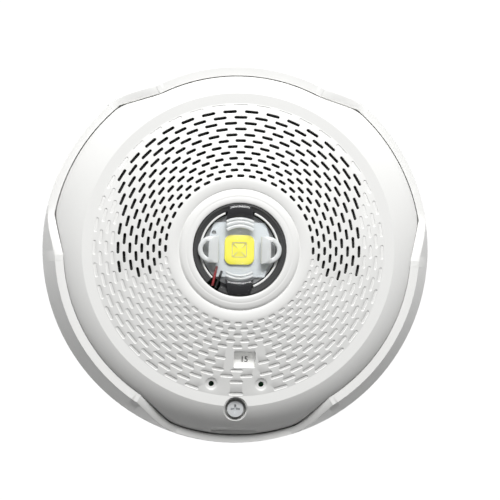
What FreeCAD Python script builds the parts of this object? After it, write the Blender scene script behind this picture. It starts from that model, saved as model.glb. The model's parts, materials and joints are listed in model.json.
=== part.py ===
"""Round horn strobe on its wall plate.

The front faces -Y and +Z is up. The origin is the middle of the plate's back face, which lies on
the wall at y = 0, so a height above the wall is measured along -Y.
"""
import FreeCAD, Part
import math
import os
import re
import Sketcher

START = 1
END = 2
CENTRE = 3
ORIGIN = -1
HALF_ROUND = "half"
WORD = r"[a-z]\w*"

# Driving dimensions in millimetres and degrees. Heights are measured from the wall.
SIZES = {
    # mounting plate: its outer radius, and how far inside it each edge lies
    "plate_r": 86.5,
    "skirt_foot": 2.5,
    "pad_ledge": 5.2,
    "pad_drop": 5.2,
    "rim_ledge": 0.4,
    "rim_drop": 0.5,
    "floor_thick": 2.5,
    "cut_over": 1.0,
    # wavy joint line of the head: three lobes and three recesses
    "lobe_ledge": 4.1,
    "recess_ledge": 9.4,
    "lobe_half": 20.0,
    "ramp_span": 12.5,
    "joint_gap": 0.45,
    # front housing
    "wall": 2.0,
    "side_wall_share": 0.4,
    "edge_foot": 4.0,
    "edge_top": 8.8,
    "shoulder_wide": 7.6,
    "shoulder_top": 20.5,
    "shoulder_bend": 24.0,
    "shoulder_flat": 4.5,
    "dish_rise": 7.5,
    "hub_wide": 4.7,
    "bezel_rise": 1.7,
    "bezel_lean": 0.5,
    "bezel_wide": 5.6,
    "bezel_slope": 1.9,
    "bezel_dip": 0.9,
    "lens_bore_r": 20.7,
    "hub_groove_off": 0.6,
    "hub_groove_wide": 0.5,
    "hub_groove_deep": 0.5,
    "fit_gap": 0.2,
    "run_gap": 0.35,
    # grille
    "slot_start": 1.7,
    "slot_row_pitch": 2.6,
    "slot_turn": 9.0,
    "slot_wide": 1.25,
    "slot_share": 0.63,
    "slot_depth": 3.6,
    # window, sounding holes and pry notch
    "window_x": 3.4,
    "window_z": 48.6,
    "window_wide": 9.5,
    "window_tall": 7.2,
    "pin_hole_r": 1.2,
    "pin_dimple_r": 2.75,
    "pin_dimple_deep": 0.5,
    "pin_hole_x": 11.05,
    "pin_hole_z": 59.5,
    "notch_wide": 19.9,
    "notch_tall": 1.1,
    "notch_ledge": 2.1,
    "notch_floor": 8.6,
    # captive screw and its bore
    "screw_ledge": 6.4,
    "screw_head_r": 3.6,
    "screw_head_tall": 2.4,
    "screw_sink": 5.0,
    "screw_shelf": 2.0,
    "screw_shank_r": 1.6,
    "screw_tip": 1.2,
    "screw_bore_r": 4.8,
    "screw_lip_r": 5.3,
    "screw_lip_deep": 0.6,
    "screw_tube_r": 6.6,
    "screw_tube_foot": 6.0,
    "screw_drive_deep": 1.4,
    "screw_drive_long": 4.0,
    "screw_drive_wide": 0.9,
    "screw_travel": 3.2,
    "washer_r": 3.4,
    "washer_thick": 0.8,
    "washer_gap": 0.5,
    "washer_bore_gap": 0.05,
    "boss_r": 4.4,
    "boss_top": 5.5,
    "insert_r": 3.0,
    "insert_bore_r": 2.0,
    "insert_foot": 1.0,
    # hooks at the top
    "hook_x": 15.0,
    "hook_wide": 9.0,
    "hook_reach": 2.4,
    "hook_thick": 1.5,
    "hook_root": 3.5,
    "hook_room": 0.6,
    # box mounting slots and the wire opening
    "gang_pitch_z": 83.3,
    "gang_pitch_x": 46.0,
    "octagon_pitch": 88.9,
    "gang_hole_r": 2.0,
    "gang_slot_long": 7.0,
    "octagon_hole_r": 2.4,
    "octagon_slot_long": 9.0,
    "entry_foot": 8.0,
    "entry_head": 34.0,
    "rib_thick": 1.6,
    "rib_tall": 1.0,
    "rib_inner": 62.0,
    "rib_outer": 74.0,
    # terminal block
    "block_side": 1.5,
    "block_low": 35.0,
    "block_high": 16.4,
    "block_top": 8.8,
    "block_lip": 1.0,
    "terminals": 5,
    "way_pitch": 9.0,
    "way_floor": 4.6,
    "way_wide": 6.6,
    "way_high": 24.2,
    "pin_z": 22.4,
    "pin_wide": 2.0,
    "pin_thick": 0.8,
    "pin_tip": 4.8,
    "pin_stub": 0.5,
    "pin_room_x": 0.4,
    "pin_room_z": 0.6,
    "pin_slot_floor": 3.6,
    "contact_thick": 0.5,
    "contact_wide": 5.0,
    "contact_drop": 0.8,
    "clamp_side": 5.6,
    "clamp_thick": 0.8,
    "clamp_foot": 6.0,
    "term_z": 29.4,
    "term_head_r": 2.5,
    "term_head_tall": 1.6,
    "term_shank_r": 1.4,
    "term_bore_floor": 0.3,
    "term_tip_gap": 0.2,
    "term_slot_wide": 0.7,
    "term_slot_deep": 0.8,
    "spring_z": 18.4,
    "spring_wide": 1.4,
    "spring_thick": 0.5,
    "spring_rise": 1.0,
    # rear cover, board and screws
    "cover_rise": 0.7,
    "cover_inset": 2.4,
    "cover_thick": 1.8,
    "board_ledge": 3.0,
    "board_rise": 3.5,
    "board_thick": 1.6,
    "cover_screw_ledge": 6.6,
        "cover_screw_head_r": 2.4,
    "cover_screw_head_tall": 1.4,
    "cover_screw_shank_r": 1.1,
    "cover_screw_gap": 0.02,
    "cover_screw_long": 5.0,
    "cover_boss_r": 3.2,
    "post_r": 2.6,
    "post_ledge": 8.0,
    "post_hole_deep": 4.0,
    "board_screw_head_r": 2.2,
    "board_screw_head_tall": 1.0,
    "board_screw_long": 3.5,
    "screen_start": 0.3,
    "screen_ledge": 0.8,
    "screen_thick": 0.3,
    "screen_half": 112.0,
    "screen_gap": 0.05,
    # horn
    "horn_z": 44.0,
    "horn_r": 14.5,
    "horn_wall": 1.4,
    "horn_drop": 1.3,
    "horn_mouth_r": 4.0,
    "disc_r": 12.6,
    "disc_ledge": 1.2,
    "disc_thick": 0.3,
    "disc_drop": 2.9,
    "ceramic_r": 8.5,
    "ceramic_thick": 0.25,
    # strobe: parts that stand inside the lens bore
    "holder_wall": 4.0,
    "holder_drop": 3.8,
    "sink_shelf": 3.0,
    "sink_thick": 4.0,
    "shelf_thick": 1.5,
    "led_board_edge": 3.5,
    "led_board_flat": 6.3,
    "led_board_end": 12.0,
    "led_board_slope": 11.3,
    "led_board_thick": 1.0,
    "led_notch_x": 10.4,
    "led_notch_z": 5.6,
    "led_hole_rise": 1.2,
    "led_hole_r": 1.0,
    "led_side": 13.4,
    "led_body_thick": 0.8,
    "led_round": 3.2,
    "die_side": 9.0,
    "die_thick": 0.3,
    "collar_wide": 2.6,
    "collar_step_wide": 1.2,
    "collar_step": 0.5,
    "trim_wide": 1.0,
    "trim_gap": 0.1,
    "trim_drop": 0.9,
    "seal_edge": 0.8,
    "seal_thick": 0.5,
    "optic_r": 14.2,
    "optic_rise": 10.2,
    "optic_bend": 15.0,
    "optic_crown_r": 7.0,
    "optic_bore_r": 9.8,
    "optic_wall": 4.0,
    "optic_tab_thick": 1.6,
    "optic_ear_lap": 0.7,
    "optic_ear_half": 6.0,
    "optic_lobe_lap": 0.5,
    "optic_lobe_half": 6.3,
    "optic_hole_in": 2.3,
    "optic_hole_r": 1.5,
    "optic_hole_half": 2.0,
    "lead_r": 0.55,
    "lead_bend": 1.21,
    "lead_lift": 0.1,
    "lead_notch_in": 1.7,
    "lead_notch_side": 5.8,
    # candela switch
    "strip_sink": 3.1,
    "strip_thick": 0.8,
    "strip_tall": 8.0,
    "strip_left": 4.9,
    "strip_long": 36.0,
    "scale_step": 7.0,
    "scale_steps": 4,
    "leg_x": 16.0,
    "leg_wide": 4.0,
    "leg_tall": 2.4,
    "knob_drop": 2.3,
    "knob_wide": 6.0,
    "knob_tall": 4.0,
    "guide_wall": 1.2,
    # tone switch
    "tone_x": 40.0,
    "tone_z": 18.0,
    "tone_side": 10.0,
    "tone_drop": 1.1,
    "tone_dial_r": 3.1,
    "tone_dial_gap": 0.1,
    "tone_dial_proud": 0.8,
    "tone_dial_tall": 3.4,
    "tone_slot_wide": 1.0,
    "tone_slot_deep": 0.9,
    "tone_slot_end": 0.7,
    # parts on the board
    "can_r": 4.0,
    "can_tall": 5.6,
    "can_base": 0.6,
    "can_base_edge": 0.2,
    "coil_core_r": 2.2,
    "coil_flange_r": 5.2,
    "coil_flange_thick": 0.8,
    "coil_edge": 0.5,
    "coil_tall": 5.0,
    "chip_side": 7.0,
    "chip_thick": 1.2,
}

# Sizes that follow from the driving ones.
TIED = {
    "head_lobe_r": "plate_r-lobe_ledge",
    "head_recess_r": "plate_r-recess_ledge",
    "pad_r": "plate_r-pad_ledge",
    "pad_top": "shoulder_top-pad_drop",
    "rim_lobe_r": "plate_r-rim_ledge",
    "rim_top": "edge_top-rim_drop",
    "shoulder_r": "head_recess_r-shoulder_wide",
    "dish_r": "shoulder_r-shoulder_flat",
    "hub_top": "shoulder_top+dish_rise",
    "bezel_top": "hub_top+bezel_rise",
    "bezel_r": "lens_bore_r+bezel_wide",
    "bezel_flat_r": "lens_bore_r+bezel_slope",
    "hub_r": "bezel_r+hub_wide",
    "hub_groove_r": "bezel_r+hub_groove_off",
    "slot_first_r": "hub_r+slot_start",
    "notch_z": "head_lobe_r-notch_ledge",
    "block_wide": "terminals*way_pitch+2*block_side",
    "entry_wide": "block_wide",
    "screw_z": "head_recess_r-screw_ledge",
    "screw_seat": "shoulder_top-screw_sink",
    "washer_foot": "screw_seat-screw_shelf-washer_gap-screw_travel-washer_thick",
    "cover_foot": "block_top+cover_rise",
    "board_r": "dish_r-board_ledge",
    "board_foot": "cover_foot+board_rise",
    "board_top": "board_foot+board_thick",
    "cover_screw_r": "head_recess_r-cover_screw_ledge",
    "post_ring_r": "dish_r-post_ledge",
    "contact_top": "block_top-contact_drop",
    "screen_inner_r": "hub_r+screen_start",
    "screen_outer_r": "dish_r-screen_ledge",
    "dish_slope": "(hub_top-shoulder_top)/(dish_r-hub_r)",
    "horn_top": "shoulder_top-horn_drop",
    "disc_foot": "horn_top-disc_drop",
    "collar_top": "bezel_top-bezel_dip",
    "trim_top": "collar_top-trim_drop",
    "holder_top": "collar_top-holder_drop",
    "holder_r": "lens_bore_r-fit_gap*3/2",
    "holder_bore_r": "holder_r-holder_wall",
    "collar_bore_r": "holder_r-collar_wide",
    "collar_step_r": "holder_r-collar_step_wide",
    "trim_bore_r": "collar_bore_r-trim_wide",
    "led_board_half": "trim_bore_r-led_board_edge",
    "optic_top": "collar_top+optic_rise",
    "optic_roof": "optic_top-optic_wall",
    "optic_ear_reach": "collar_bore_r+optic_ear_lap",
    "optic_lobe_reach": "collar_step_r+optic_lobe_lap",
    "optic_hole_x": "optic_ear_reach-optic_hole_in",
    "strip_foot": "shoulder_top-strip_sink",
    "knob_foot": "cover_foot-knob_drop",
    "tone_foot": "cover_foot-tone_drop",
    "tone_dial_foot": "tone_foot-tone_dial_proud",
    "tone_dial_top": "tone_dial_foot+tone_dial_tall",
    "pins_wide": "(terminals-1)*way_pitch+pin_wide+2*pin_room_x",
    "pins_tall": "pin_thick+4*pin_room_z",
    "face_at_pins": "shoulder_top+(dish_r-sqrt(pin_hole_x^2+pin_hole_z^2))*dish_slope",
    "leg_middle": "leg_x-scale_step*scale_steps/2",
    "leg_slot": "scale_step*scale_steps+leg_wide+2*run_gap",
    "strip_x": "window_x-strip_left+strip_long/2",
}

# Open slots in each row of the grille, from the innermost row out.
ROW_SLOTS = (21, 22, 23, 24, 23, 24, 23, 22, 23, 16, 15, 14)
CAN_PLACES = ((-40.0, -14.0), (-40.0, -24.0), (38.0, -16.0))
CHIP_PLACES = ((40.0, -28.0), (-26.0, -30.0), (-44.0, 4.0))
COIL_PLACE = (28.0, -30.0)
# Places round the axis, in degrees from +X.
COVER_ANGLES = (55, 125, 235, 305)
POST_ANGLES = (5, 175, 215, 325)
# Where the leads come up through the collar.
LEAD_NOTCH_ANGLE = 234.4
# Each lead: where it starts on the lamp board, and how far round from the notch's middle it turns down.
LEADS = (("lamp_lead_red", (-9.8, -7.4), -1.0), ("lamp_lead_black", (-7.6, -9.4), 4.2))

doc = FreeCAD.newDocument("horn_strobe")
sheet = doc.addObject("Spreadsheet::Sheet", "Sizes")
for row, (alias, number) in enumerate(SIZES.items(), 1):
    sheet.set(f"A{row}", alias)
    sheet.set(f"B{row}", str(number))
    sheet.setAlias(f"B{row}", alias)
doc.recompute()

pieces = []
TERMINALS = SIZES["terminals"]


# --- formulas, sketches and features ---------------------------------------------------------


def bound(formula):
    """The formula with tied sizes spelled out and the sheet's name before each of its cells."""
    words = set(re.findall(WORD, formula))
    if words & TIED.keys():
        return bound(re.sub(WORD, lambda word: f"({TIED[word[0]]})" if word[0] in TIED else word[0], formula))
    return re.sub(WORD, lambda word: "Sizes." + word[0] if word[0] in SIZES else word[0], formula)


def size(formula):
    """The formula's number now."""
    return float(sheet.evalExpression(bound(formula)))


def keep(shape, label=None):
    """Marks an object as one of the pieces, under its own label."""
    if label:
        shape.Label = label
    pieces.append(shape)
    return shape


def new_body(label):
    return doc.addObject("PartDesign::Body", label)


def sketch_on(body, role="XZ_Plane", height="0", turn="0"):
    """A sketch on one of the body's own planes; on XZ_Plane, height is measured from the wall."""
    sketch = body.newObject("Sketcher::SketchObject", body.Name + "_sketch")
    planes = [plane for plane in body.Origin.OriginFeatures if plane.Role == role]
    sketch.AttachmentSupport = [(planes[0], "")]
    sketch.MapMode = "FlatFace"
    sketch.setExpression("AttachmentOffset.Base.z", bound(height))
    sketch.setExpression("AttachmentOffset.Rotation.Angle", bound(turn))
    return sketch


def bind(sketch, constraint, formula):
    index = sketch.addConstraint(constraint)
    sketch.setExpression(f"Constraints[{index}]", bound(formula))


def place(sketch, item, end, across, up):
    """Ties one point of a sketch to its two formulas."""
    bind(sketch, Sketcher.Constraint("DistanceX", ORIGIN, 1, item, end, size(across)), across)
    bind(sketch, Sketcher.Constraint("DistanceY", ORIGIN, 1, item, end, size(up)), up)


def outline(sketch, corners):
    """A closed outline. A corner with a third entry starts an arc: HALF_ROUND is half a circle, and a
    formula is a radius. An arc swells to the right of the way the outline runs, or to the left where
    its formula starts with a minus."""
    points = [FreeCAD.Vector(size(corner[0]), size(corner[1]), 0) for corner in corners]
    first = sketch.GeometryCount
    count = len(corners)
    for number, corner in enumerate(corners):
        near = points[number]
        far = points[(number + 1) % count]
        sketch.addGeometry(arc(near, far, corner[2]) if len(corner) == 3 else Part.LineSegment(near, far))
    for number in range(count):
        join_ends(sketch, first + number, first + (number + 1) % count, points[(number + 1) % count])
    for number, corner in enumerate(corners):
        item = first + number
        place(sketch, item, near_end(sketch, item, points[number]), corner[0], corner[1])
        if len(corner) == 3:
            hold_arc(sketch, item, corner, corners[(number + 1) % count])


def arc(near, far, bend):
    """Arc between two points, always drawn counter-clockwise."""
    chord = far - near
    radius = chord.Length / 2 if bend == HALF_ROUND else abs(size(bend))
    rise = radius - math.sqrt(max(radius ** 2 - (chord.Length / 2) ** 2, 0))
    leftwards = bend.startswith("-")
    side = FreeCAD.Vector(chord.y, -chord.x, 0).normalize()
    middle = (near + far) * 0.5 + side * (-rise if leftwards else rise)
    return Part.Arc(far, middle, near) if leftwards else Part.Arc(near, middle, far)


def hold_arc(sketch, item, corner, following):
    """Fixes an arc whose ends are already held: by its radius, or by its centre where it is a half circle."""
    if corner[2] != HALF_ROUND:
        radius = corner[2].lstrip("-")
        bind(sketch, Sketcher.Constraint("Radius", item, size(radius)), radius)
        return
    upright = abs(size(corner[0]) - size(following[0])) < 1e-6
    axis = "DistanceX" if upright else "DistanceY"
    formula = corner[0] if upright else corner[1]
    bind(sketch, Sketcher.Constraint(axis, ORIGIN, 1, item, CENTRE, size(formula)), formula)


def near_end(sketch, item, point):
    """Which end of an edge lies at a point: an arc always runs counter-clockwise."""
    gap = sketch.getPoint(item, START) - point
    return START if gap.Length < 1e-6 else END


def join_ends(sketch, one, two, point):
    ends = near_end(sketch, one, point), near_end(sketch, two, point)
    sketch.addConstraint(Sketcher.Constraint("Coincident", one, ends[0], two, ends[1]))


def rectangle(sketch, left, low, right, high):
    outline(sketch, [(left, low), (right, low), (right, high), (left, high)])


def block(sketch, across, up, wide, tall):
    """A rectangle round its middle."""
    left, right = f"({across})-({wide})/2", f"({across})+({wide})/2"
    rectangle(sketch, left, f"({up})-({tall})/2", right, f"({up})+({tall})/2")


def circle(sketch, across, up, radius):
    middle = FreeCAD.Vector(size(across), size(up), 0)
    item = sketch.addGeometry(Part.Circle(middle, FreeCAD.Vector(0, 0, 1), size(radius)))
    place(sketch, item, CENTRE, across, up)
    bind(sketch, Sketcher.Constraint("Radius", item, size(radius)), radius)


def slot(sketch, across, up, length, radius, upright=False):
    """A slot with round ends, along X or upright."""
    reach = f"(({length})/2-({radius}))"
    across, up, radius = f"({across})", f"({up})", f"({radius})"
    wide, tall = (radius, reach) if upright else (reach, radius)
    left, right = f"{across}-{wide}", f"{across}+{wide}"
    low, high = f"{up}-{tall}", f"{up}+{tall}"
    if upright:
        outline(sketch, [(right, low), (right, high, HALF_ROUND), (left, high), (left, low, HALF_ROUND)])
    else:
        outline(sketch, [(left, low), (right, low, HALF_ROUND), (right, high), (left, high, HALF_ROUND)])


def finished(body, feature, sketch):
    feature.Profile = sketch
    body.Tip = feature
    return feature


def pad(body, sketch, height):
    """Grows a sketch away from the wall."""
    feature = finished(body, body.newObject("PartDesign::Pad", body.Name + "_pad"), sketch)
    feature.setExpression("Length", bound(height))
    return feature


def pocket(body, sketch, depth):
    """Cuts from a sketch towards the wall."""
    feature = finished(body, body.newObject("PartDesign::Pocket", body.Name + "_pocket"), sketch)
    feature.setExpression("Length", bound(depth))
    return feature


def revolve(body, sketch):
    """Turns a sketch of radius and height about the device's axis."""
    feature = finished(body, body.newObject("PartDesign::Revolution", body.Name + "_turned"), sketch)
    feature.ReferenceAxis = (sketch, ["V_Axis"])
    feature.Angle = 360
    return feature


def around(body, features, sketch, count, angle="360"):
    """Repeats features about the normal through a sketch's origin."""
    pattern = body.newObject("PartDesign::PolarPattern", body.Name + "_round")
    pattern.Originals = features
    pattern.Axis = (sketch, ["N_Axis"])
    pattern.Occurrences = count
    pattern.setExpression("Angle", bound(angle))
    body.Tip = pattern
    return pattern


def turned(label, corners):
    """A body turned about the device's axis; each corner is a radius and a height."""
    body = new_body(label)
    sketch = sketch_on(body, "XY_Plane")
    profile = [(corner[0], f"-({corner[1]})") + tuple(corner[2:]) for corner in corners]
    outline(sketch, profile)
    revolve(body, sketch)
    return body


def ring(label, bore, radius, foot, thick):
    """A flat ring about the device's axis."""
    body = new_body(label)
    sketch = sketch_on(body, height=foot)
    circle(sketch, "0", "0", radius)
    circle(sketch, "0", "0", bore)
    pad(body, sketch, thick)
    return body


def add_block(body, across, up, wide, tall, foot, thick):
    sketch = sketch_on(body, height=foot)
    block(sketch, across, up, wide, tall)
    return pad(body, sketch, thick)


def cut_block(body, across, up, wide, tall, top, deep):
    sketch = sketch_on(body, height=top)
    block(sketch, across, up, wide, tall)
    return pocket(body, sketch, deep)


def add_disc(body, across, up, radius, foot, thick):
    sketch = sketch_on(body, height=foot)
    circle(sketch, across, up, radius)
    return pad(body, sketch, thick)


def cut_disc(body, across, up, radius, top, deep):
    sketch = sketch_on(body, height=top)
    circle(sketch, across, up, radius)
    return pocket(body, sketch, deep)


def wavy(sketch, lobe, recess):
    """The three-lobed joint line; its lobes stand at the bottom and to either side of the top."""
    corners = []
    for third in range(3):
        middle = f"({third}*120-90)"
        lobe_end = f"({middle}+lobe_half)"
        recess_start = f"({middle}+lobe_half+ramp_span)"
        recess_end = f"({middle}+120-lobe_half-ramp_span)"
        corners.append(polar(lobe, f"({middle}-lobe_half)") + (lobe,))
        corners.append(polar(lobe, lobe_end))
        corners.append(polar(recess, recess_start) + (recess,))
        corners.append(polar(recess, recess_end))
    outline(sketch, corners)


def polar(radius, angle):
    return f"({radius})*cos({angle})", f"({radius})*sin({angle})"


def wavy_prism(label, lobe, recess, foot, height):
    body = new_body(label)
    sketch = sketch_on(body, height=foot)
    wavy(sketch, lobe, recess)
    pad(body, sketch, height)
    return body


def boolean(kind, name, base, tool):
    result = doc.addObject(f"Part::{kind}", name)
    result.Base = base
    result.Tool = tool
    return result


def fuse(name, shapes):
    result = doc.addObject("Part::MultiFuse", name)
    result.Shapes = shapes
    return result


# --- mounting plate --------------------------------------------------------------------------


def mounting_plate():
    """Moulded plate: a floor on the wall, a wavy rim round the head and three sloping pads."""
    body = new_body("mounting_plate")
    profile = sketch_on(body, "XY_Plane")
    outline(profile, [("0", "0"), ("0", "-pad_top"), ("pad_r", "-pad_top"), ("plate_r", "-skirt_foot"),
                      ("plate_r", "0")])
    revolve(body, profile)
    lobe_cut = sketch_on(body, height="pad_top")
    span = "(lobe_half+ramp_span)"
    outline(lobe_cut, [polar("dish_r", f"-90-{span}"), polar("2*plate_r", f"-90-{span}"),
                       polar("2*plate_r", f"-90+{span}"), polar("dish_r", f"-90+{span}")])
    around(body, [pocket(body, lobe_cut, "pad_top-skirt_foot")], lobe_cut, 3)
    rim = sketch_on(body)
    wavy(rim, "rim_lobe_r", "pad_r")
    pad(body, rim, "rim_top")
    bowl = sketch_on(body, height="pad_top")
    wavy(bowl, "head_lobe_r+joint_gap", "head_recess_r+joint_gap")
    pocket(body, bowl, "pad_top-floor_thick")
    plate_floor(body)
    return keep(body)


def plate_floor(body):
    """Ribs, screw boss, hook pockets, box slots and the wire opening."""
    long = "rib_outer-rib_inner"
    rib = add_block(body, "0", "(rib_inner+rib_outer)/2", "rib_thick", long, "floor_thick", "rib_tall")
    rib_sketch = rib.Profile[0]
    around(body, [rib], rib_sketch, 12)
    add_disc(body, "0", "-screw_z", "boss_r", "floor_thick", "boss_top-floor_thick")
    cut_disc(body, "0", "-screw_z", "insert_r", "boss_top", "boss_top-insert_foot")
    cut_disc(body, "0", "-screw_z", "insert_bore_r", "floor_thick", "floor_thick+cut_over")
    hook_top = "edge_foot+hook_root+hook_room"
    for side in ("-", ""):
        reach = "head_recess_r+hook_reach+hook_room"
        inner = "head_recess_r-2*wall"
        room = sketch_on(body, height=hook_top)
        block(room, f"{side}hook_x", f"({reach}+{inner})/2", "hook_wide+2*hook_room", f"{reach}-({inner})")
        pocket(body, room, f"({hook_top})-floor_thick")
    box_slots(body)


def box_slots(body):
    """Slots for gang boxes and octagon boxes, and the opening for the wires."""
    for side_z in ("-", ""):
        up = f"{side_z}gang_pitch_z/2"
        single = sketch_on(body, height="floor_thick")
        slot(single, "0", up, "gang_slot_long", "gang_hole_r", upright=True)
        pocket(body, single, "floor_thick+cut_over")
        for side_x in ("-", ""):
            double = sketch_on(body, height="floor_thick")
            slot(double, f"{side_x}gang_pitch_x/2", up, "gang_slot_long", "gang_hole_r")
            pocket(body, double, "floor_thick+cut_over")
    for side_x in ("-", ""):
        octagon = sketch_on(body, height="floor_thick")
        slot(octagon, f"{side_x}octagon_pitch/2", "0", "octagon_slot_long", "octagon_hole_r")
        pocket(body, octagon, "floor_thick+cut_over")
    entry = sketch_on(body, height="floor_thick")
    rectangle(entry, "-entry_wide/2", "entry_foot", "entry_wide/2", "entry_head")
    pocket(body, entry, "floor_thick+cut_over")


def screw_insert():
    """Brass bush pressed into the boss; the captive screw runs in it."""
    body = new_body("screw_insert")
    sketch = sketch_on(body, height="insert_foot")
    circle(sketch, "0", "-screw_z", "insert_r")
    circle(sketch, "0", "-screw_z", "insert_bore_r")
    pad(body, sketch, "boss_top-insert_foot")
    return keep(body)


# --- terminals -------------------------------------------------------------------------------


def way_x(way):
    """Place of one terminal along the block."""
    return f"({way}-{(TERMINALS - 1) / 2})*way_pitch"


def terminal_block():
    """Moulded block with a wire way and a pin slot for each terminal."""
    body = new_body("terminal_block")
    sketch = sketch_on(body, height="floor_thick")
    rectangle(sketch, "-block_wide/2", "-block_low", "block_wide/2", "-block_high")
    pad(body, sketch, "block_top-floor_thick")
    ways = sketch_on(body, height="block_top")
    slots = sketch_on(body, height="block_top")
    for way in range(TERMINALS):
        left = f"({way_x(way)})-way_wide/2"
        rectangle(ways, left, "-block_low-cut_over", f"({way_x(way)})+way_wide/2", "-way_high")
        block(slots, way_x(way), "-pin_z", "pin_wide+2*pin_room_x", "pin_thick+2*pin_room_z")
    pocket(body, ways, "block_top-way_floor")
    pocket(body, slots, "block_top-pin_slot_floor")
    seat = sketch_on(body, height="block_top")
    block(seat, "0", "-spring_z", "2*way_pitch", "spring_wide+2*fit_gap")
    pocket(body, seat, "spring_rise")
    for way in range(TERMINALS):
        shank = sketch_on(body, height="way_floor")
        circle(shank, way_x(way), "-term_z", "term_shank_r")
        pocket(body, shank, "way_floor-floor_thick-term_bore_floor")
    return keep(body)


def terminal_contacts():
    """Flat contact under each clamp, with a leaf that stands beside its pin."""
    body = new_body("terminal_contacts")
    foot = sketch_on(body, height="way_floor")
    for way in range(TERMINALS):
        block(foot, way_x(way), "-(block_low-block_lip+way_high)/2", "contact_wide",
              "block_low-block_lip-way_high")
        circle(foot, way_x(way), "-term_z", "term_shank_r+fit_gap/2")
    pad(body, foot, "contact_thick")
    leaf = sketch_on(body, height="way_floor")
    for way in range(TERMINALS):
        block(leaf, way_x(way), "-way_high-contact_thick/2", "contact_wide", "contact_thick")
    pad(body, leaf, "contact_top-way_floor")
    return keep(body)


def terminal_clamps():
    """Square wire clamps under the terminal screws."""
    body = new_body("terminal_clamps")
    sketch = sketch_on(body, height="clamp_foot")
    for way in range(TERMINALS):
        block(sketch, way_x(way), "-term_z", "clamp_side", "clamp_side")
        circle(sketch, way_x(way), "-term_z", "term_shank_r+fit_gap/2")
    pad(body, sketch, "clamp_thick")
    return keep(body)


def terminal_screws():
    """Slotted pan-head screws, one for each terminal."""
    body = new_body("terminal_screws")
    shanks = sketch_on(body, height="floor_thick+term_bore_floor+term_tip_gap")
    heads = sketch_on(body, height="clamp_foot+clamp_thick")
    cuts = sketch_on(body, height="clamp_foot+clamp_thick+term_head_tall")
    for way in range(TERMINALS):
        circle(shanks, way_x(way), "-term_z", "term_shank_r")
        circle(heads, way_x(way), "-term_z", "term_head_r")
        block(cuts, way_x(way), "-term_z", "2*term_head_r+cut_over", "term_slot_wide")
    pad(body, shanks, "clamp_foot+clamp_thick-floor_thick-term_bore_floor-term_tip_gap")
    pad(body, heads, "term_head_tall")
    pocket(body, cuts, "term_slot_deep")
    return keep(body)


def shorting_spring():
    """Leaf that bridges the middle terminals while the head is off."""
    body = new_body("shorting_spring")
    foot = "block_top-spring_rise"
    add_block(body, "0", "-spring_z", "2*way_pitch-2*fit_gap", "spring_wide", foot, "spring_thick")
    return keep(body)


# --- head shell ------------------------------------------------------------------------------


def shell_form(label, inset, foot):
    """Turned solid of the head's front, moved inwards by inset."""
    return turned(label, [
        ("0", foot),
        (f"head_lobe_r-{inset}", foot),
        (f"head_lobe_r-{inset}", f"edge_top-{inset}*side_wall_share", "-shoulder_bend"),
        (f"shoulder_r-{inset}*side_wall_share", f"shoulder_top-{inset}"),
        ("dish_r", f"shoulder_top-{inset}"),
        ("hub_r", f"hub_top-{inset}"),
        ("0", f"hub_top-{inset}"),
    ])


def front_housing():
    """Moulded front: shell, lens bezel, screw tube, bosses, hooks, grille and small openings."""
    outside = boolean("Common", "head_outside", shell_form("head_form", "0", "edge_foot"),
                      wavy_prism("head_prism", "head_lobe_r", "head_recess_r", "edge_foot", "hub_top"))
    below = "edge_foot-cut_over"
    inside = boolean("Common", "head_inside", shell_form("hollow_form", "wall", below),
                     wavy_prism("hollow_prism", "head_lobe_r-wall", "head_recess_r-wall", below, "hub_top"))
    shell = boolean("Cut", "head_shell", outside, inside)
    inner = [bezel(), screw_tube(), cover_bosses(), board_posts(), hooks(), strip_guides()]
    whole = fuse("head_whole", [shell] + inner)
    cuts = fuse("head_cuts", [front_openings(), screw_bore(), grille_slots()])
    return keep(boolean("Cut", "front_housing", whole, cuts))


def bezel():
    """Raised ring round the lens."""
    return turned("bezel", [
        ("lens_bore_r-cut_over", "hub_top-wall"),
        ("bezel_r", "hub_top-wall"),
        ("bezel_r", "hub_top"),
        ("bezel_r-bezel_lean", "bezel_top-bezel_lean"),
        ("bezel_r-2*bezel_lean", "bezel_top"),
        ("bezel_flat_r", "bezel_top"),
        ("lens_bore_r-cut_over", "bezel_top-bezel_dip"),
    ])


def screw_tube():
    """Tube down from the front that carries the captive screw."""
    body = new_body("screw_tube")
    add_disc(body, "0", "-screw_z", "screw_tube_r", "screw_tube_foot", "shoulder_top-wall/2-screw_tube_foot")
    return trimmed(body)


def trimmed(body):
    """What of a body lies inside the head's outer form."""
    form = doc.getObject("head_outside")
    return boolean("Common", body.Name + "_trimmed", body, form)


def cover_bosses():
    """Four bosses for the rear cover's screws."""
    body = new_body("cover_bosses")
    sketch = sketch_on(body, height="cover_foot+cover_thick")
    for angle in COVER_ANGLES:
        across, up = polar("cover_screw_r", angle)
        circle(sketch, across, up, "cover_boss_r")
    pad(body, sketch, "hub_top")
    hole = sketch_on(body, height="cover_foot+cover_thick+cover_screw_long")
    for angle in COVER_ANGLES:
        across, up = polar("cover_screw_r", angle)
        circle(hole, across, up, "cover_screw_shank_r")
    pocket(body, hole, "cover_screw_long+cut_over")
    return trimmed(body)


def board_posts():
    """Four posts up to the front's underside that the main board is screwed to."""
    body = new_body("board_posts")
    sketch = sketch_on(body, height="board_top")
    for angle in POST_ANGLES:
        across, up = polar("post_ring_r", angle)
        circle(sketch, across, up, "post_r")
    pad(body, sketch, "shoulder_top-wall/2+post_ledge*dish_slope-board_top")
    hole = sketch_on(body, height="board_top+post_hole_deep")
    for angle in POST_ANGLES:
        across, up = polar("post_ring_r", angle)
        circle(hole, across, up, "cover_screw_shank_r")
    pocket(body, hole, "post_hole_deep+cut_over")
    return trimmed(body)


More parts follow.
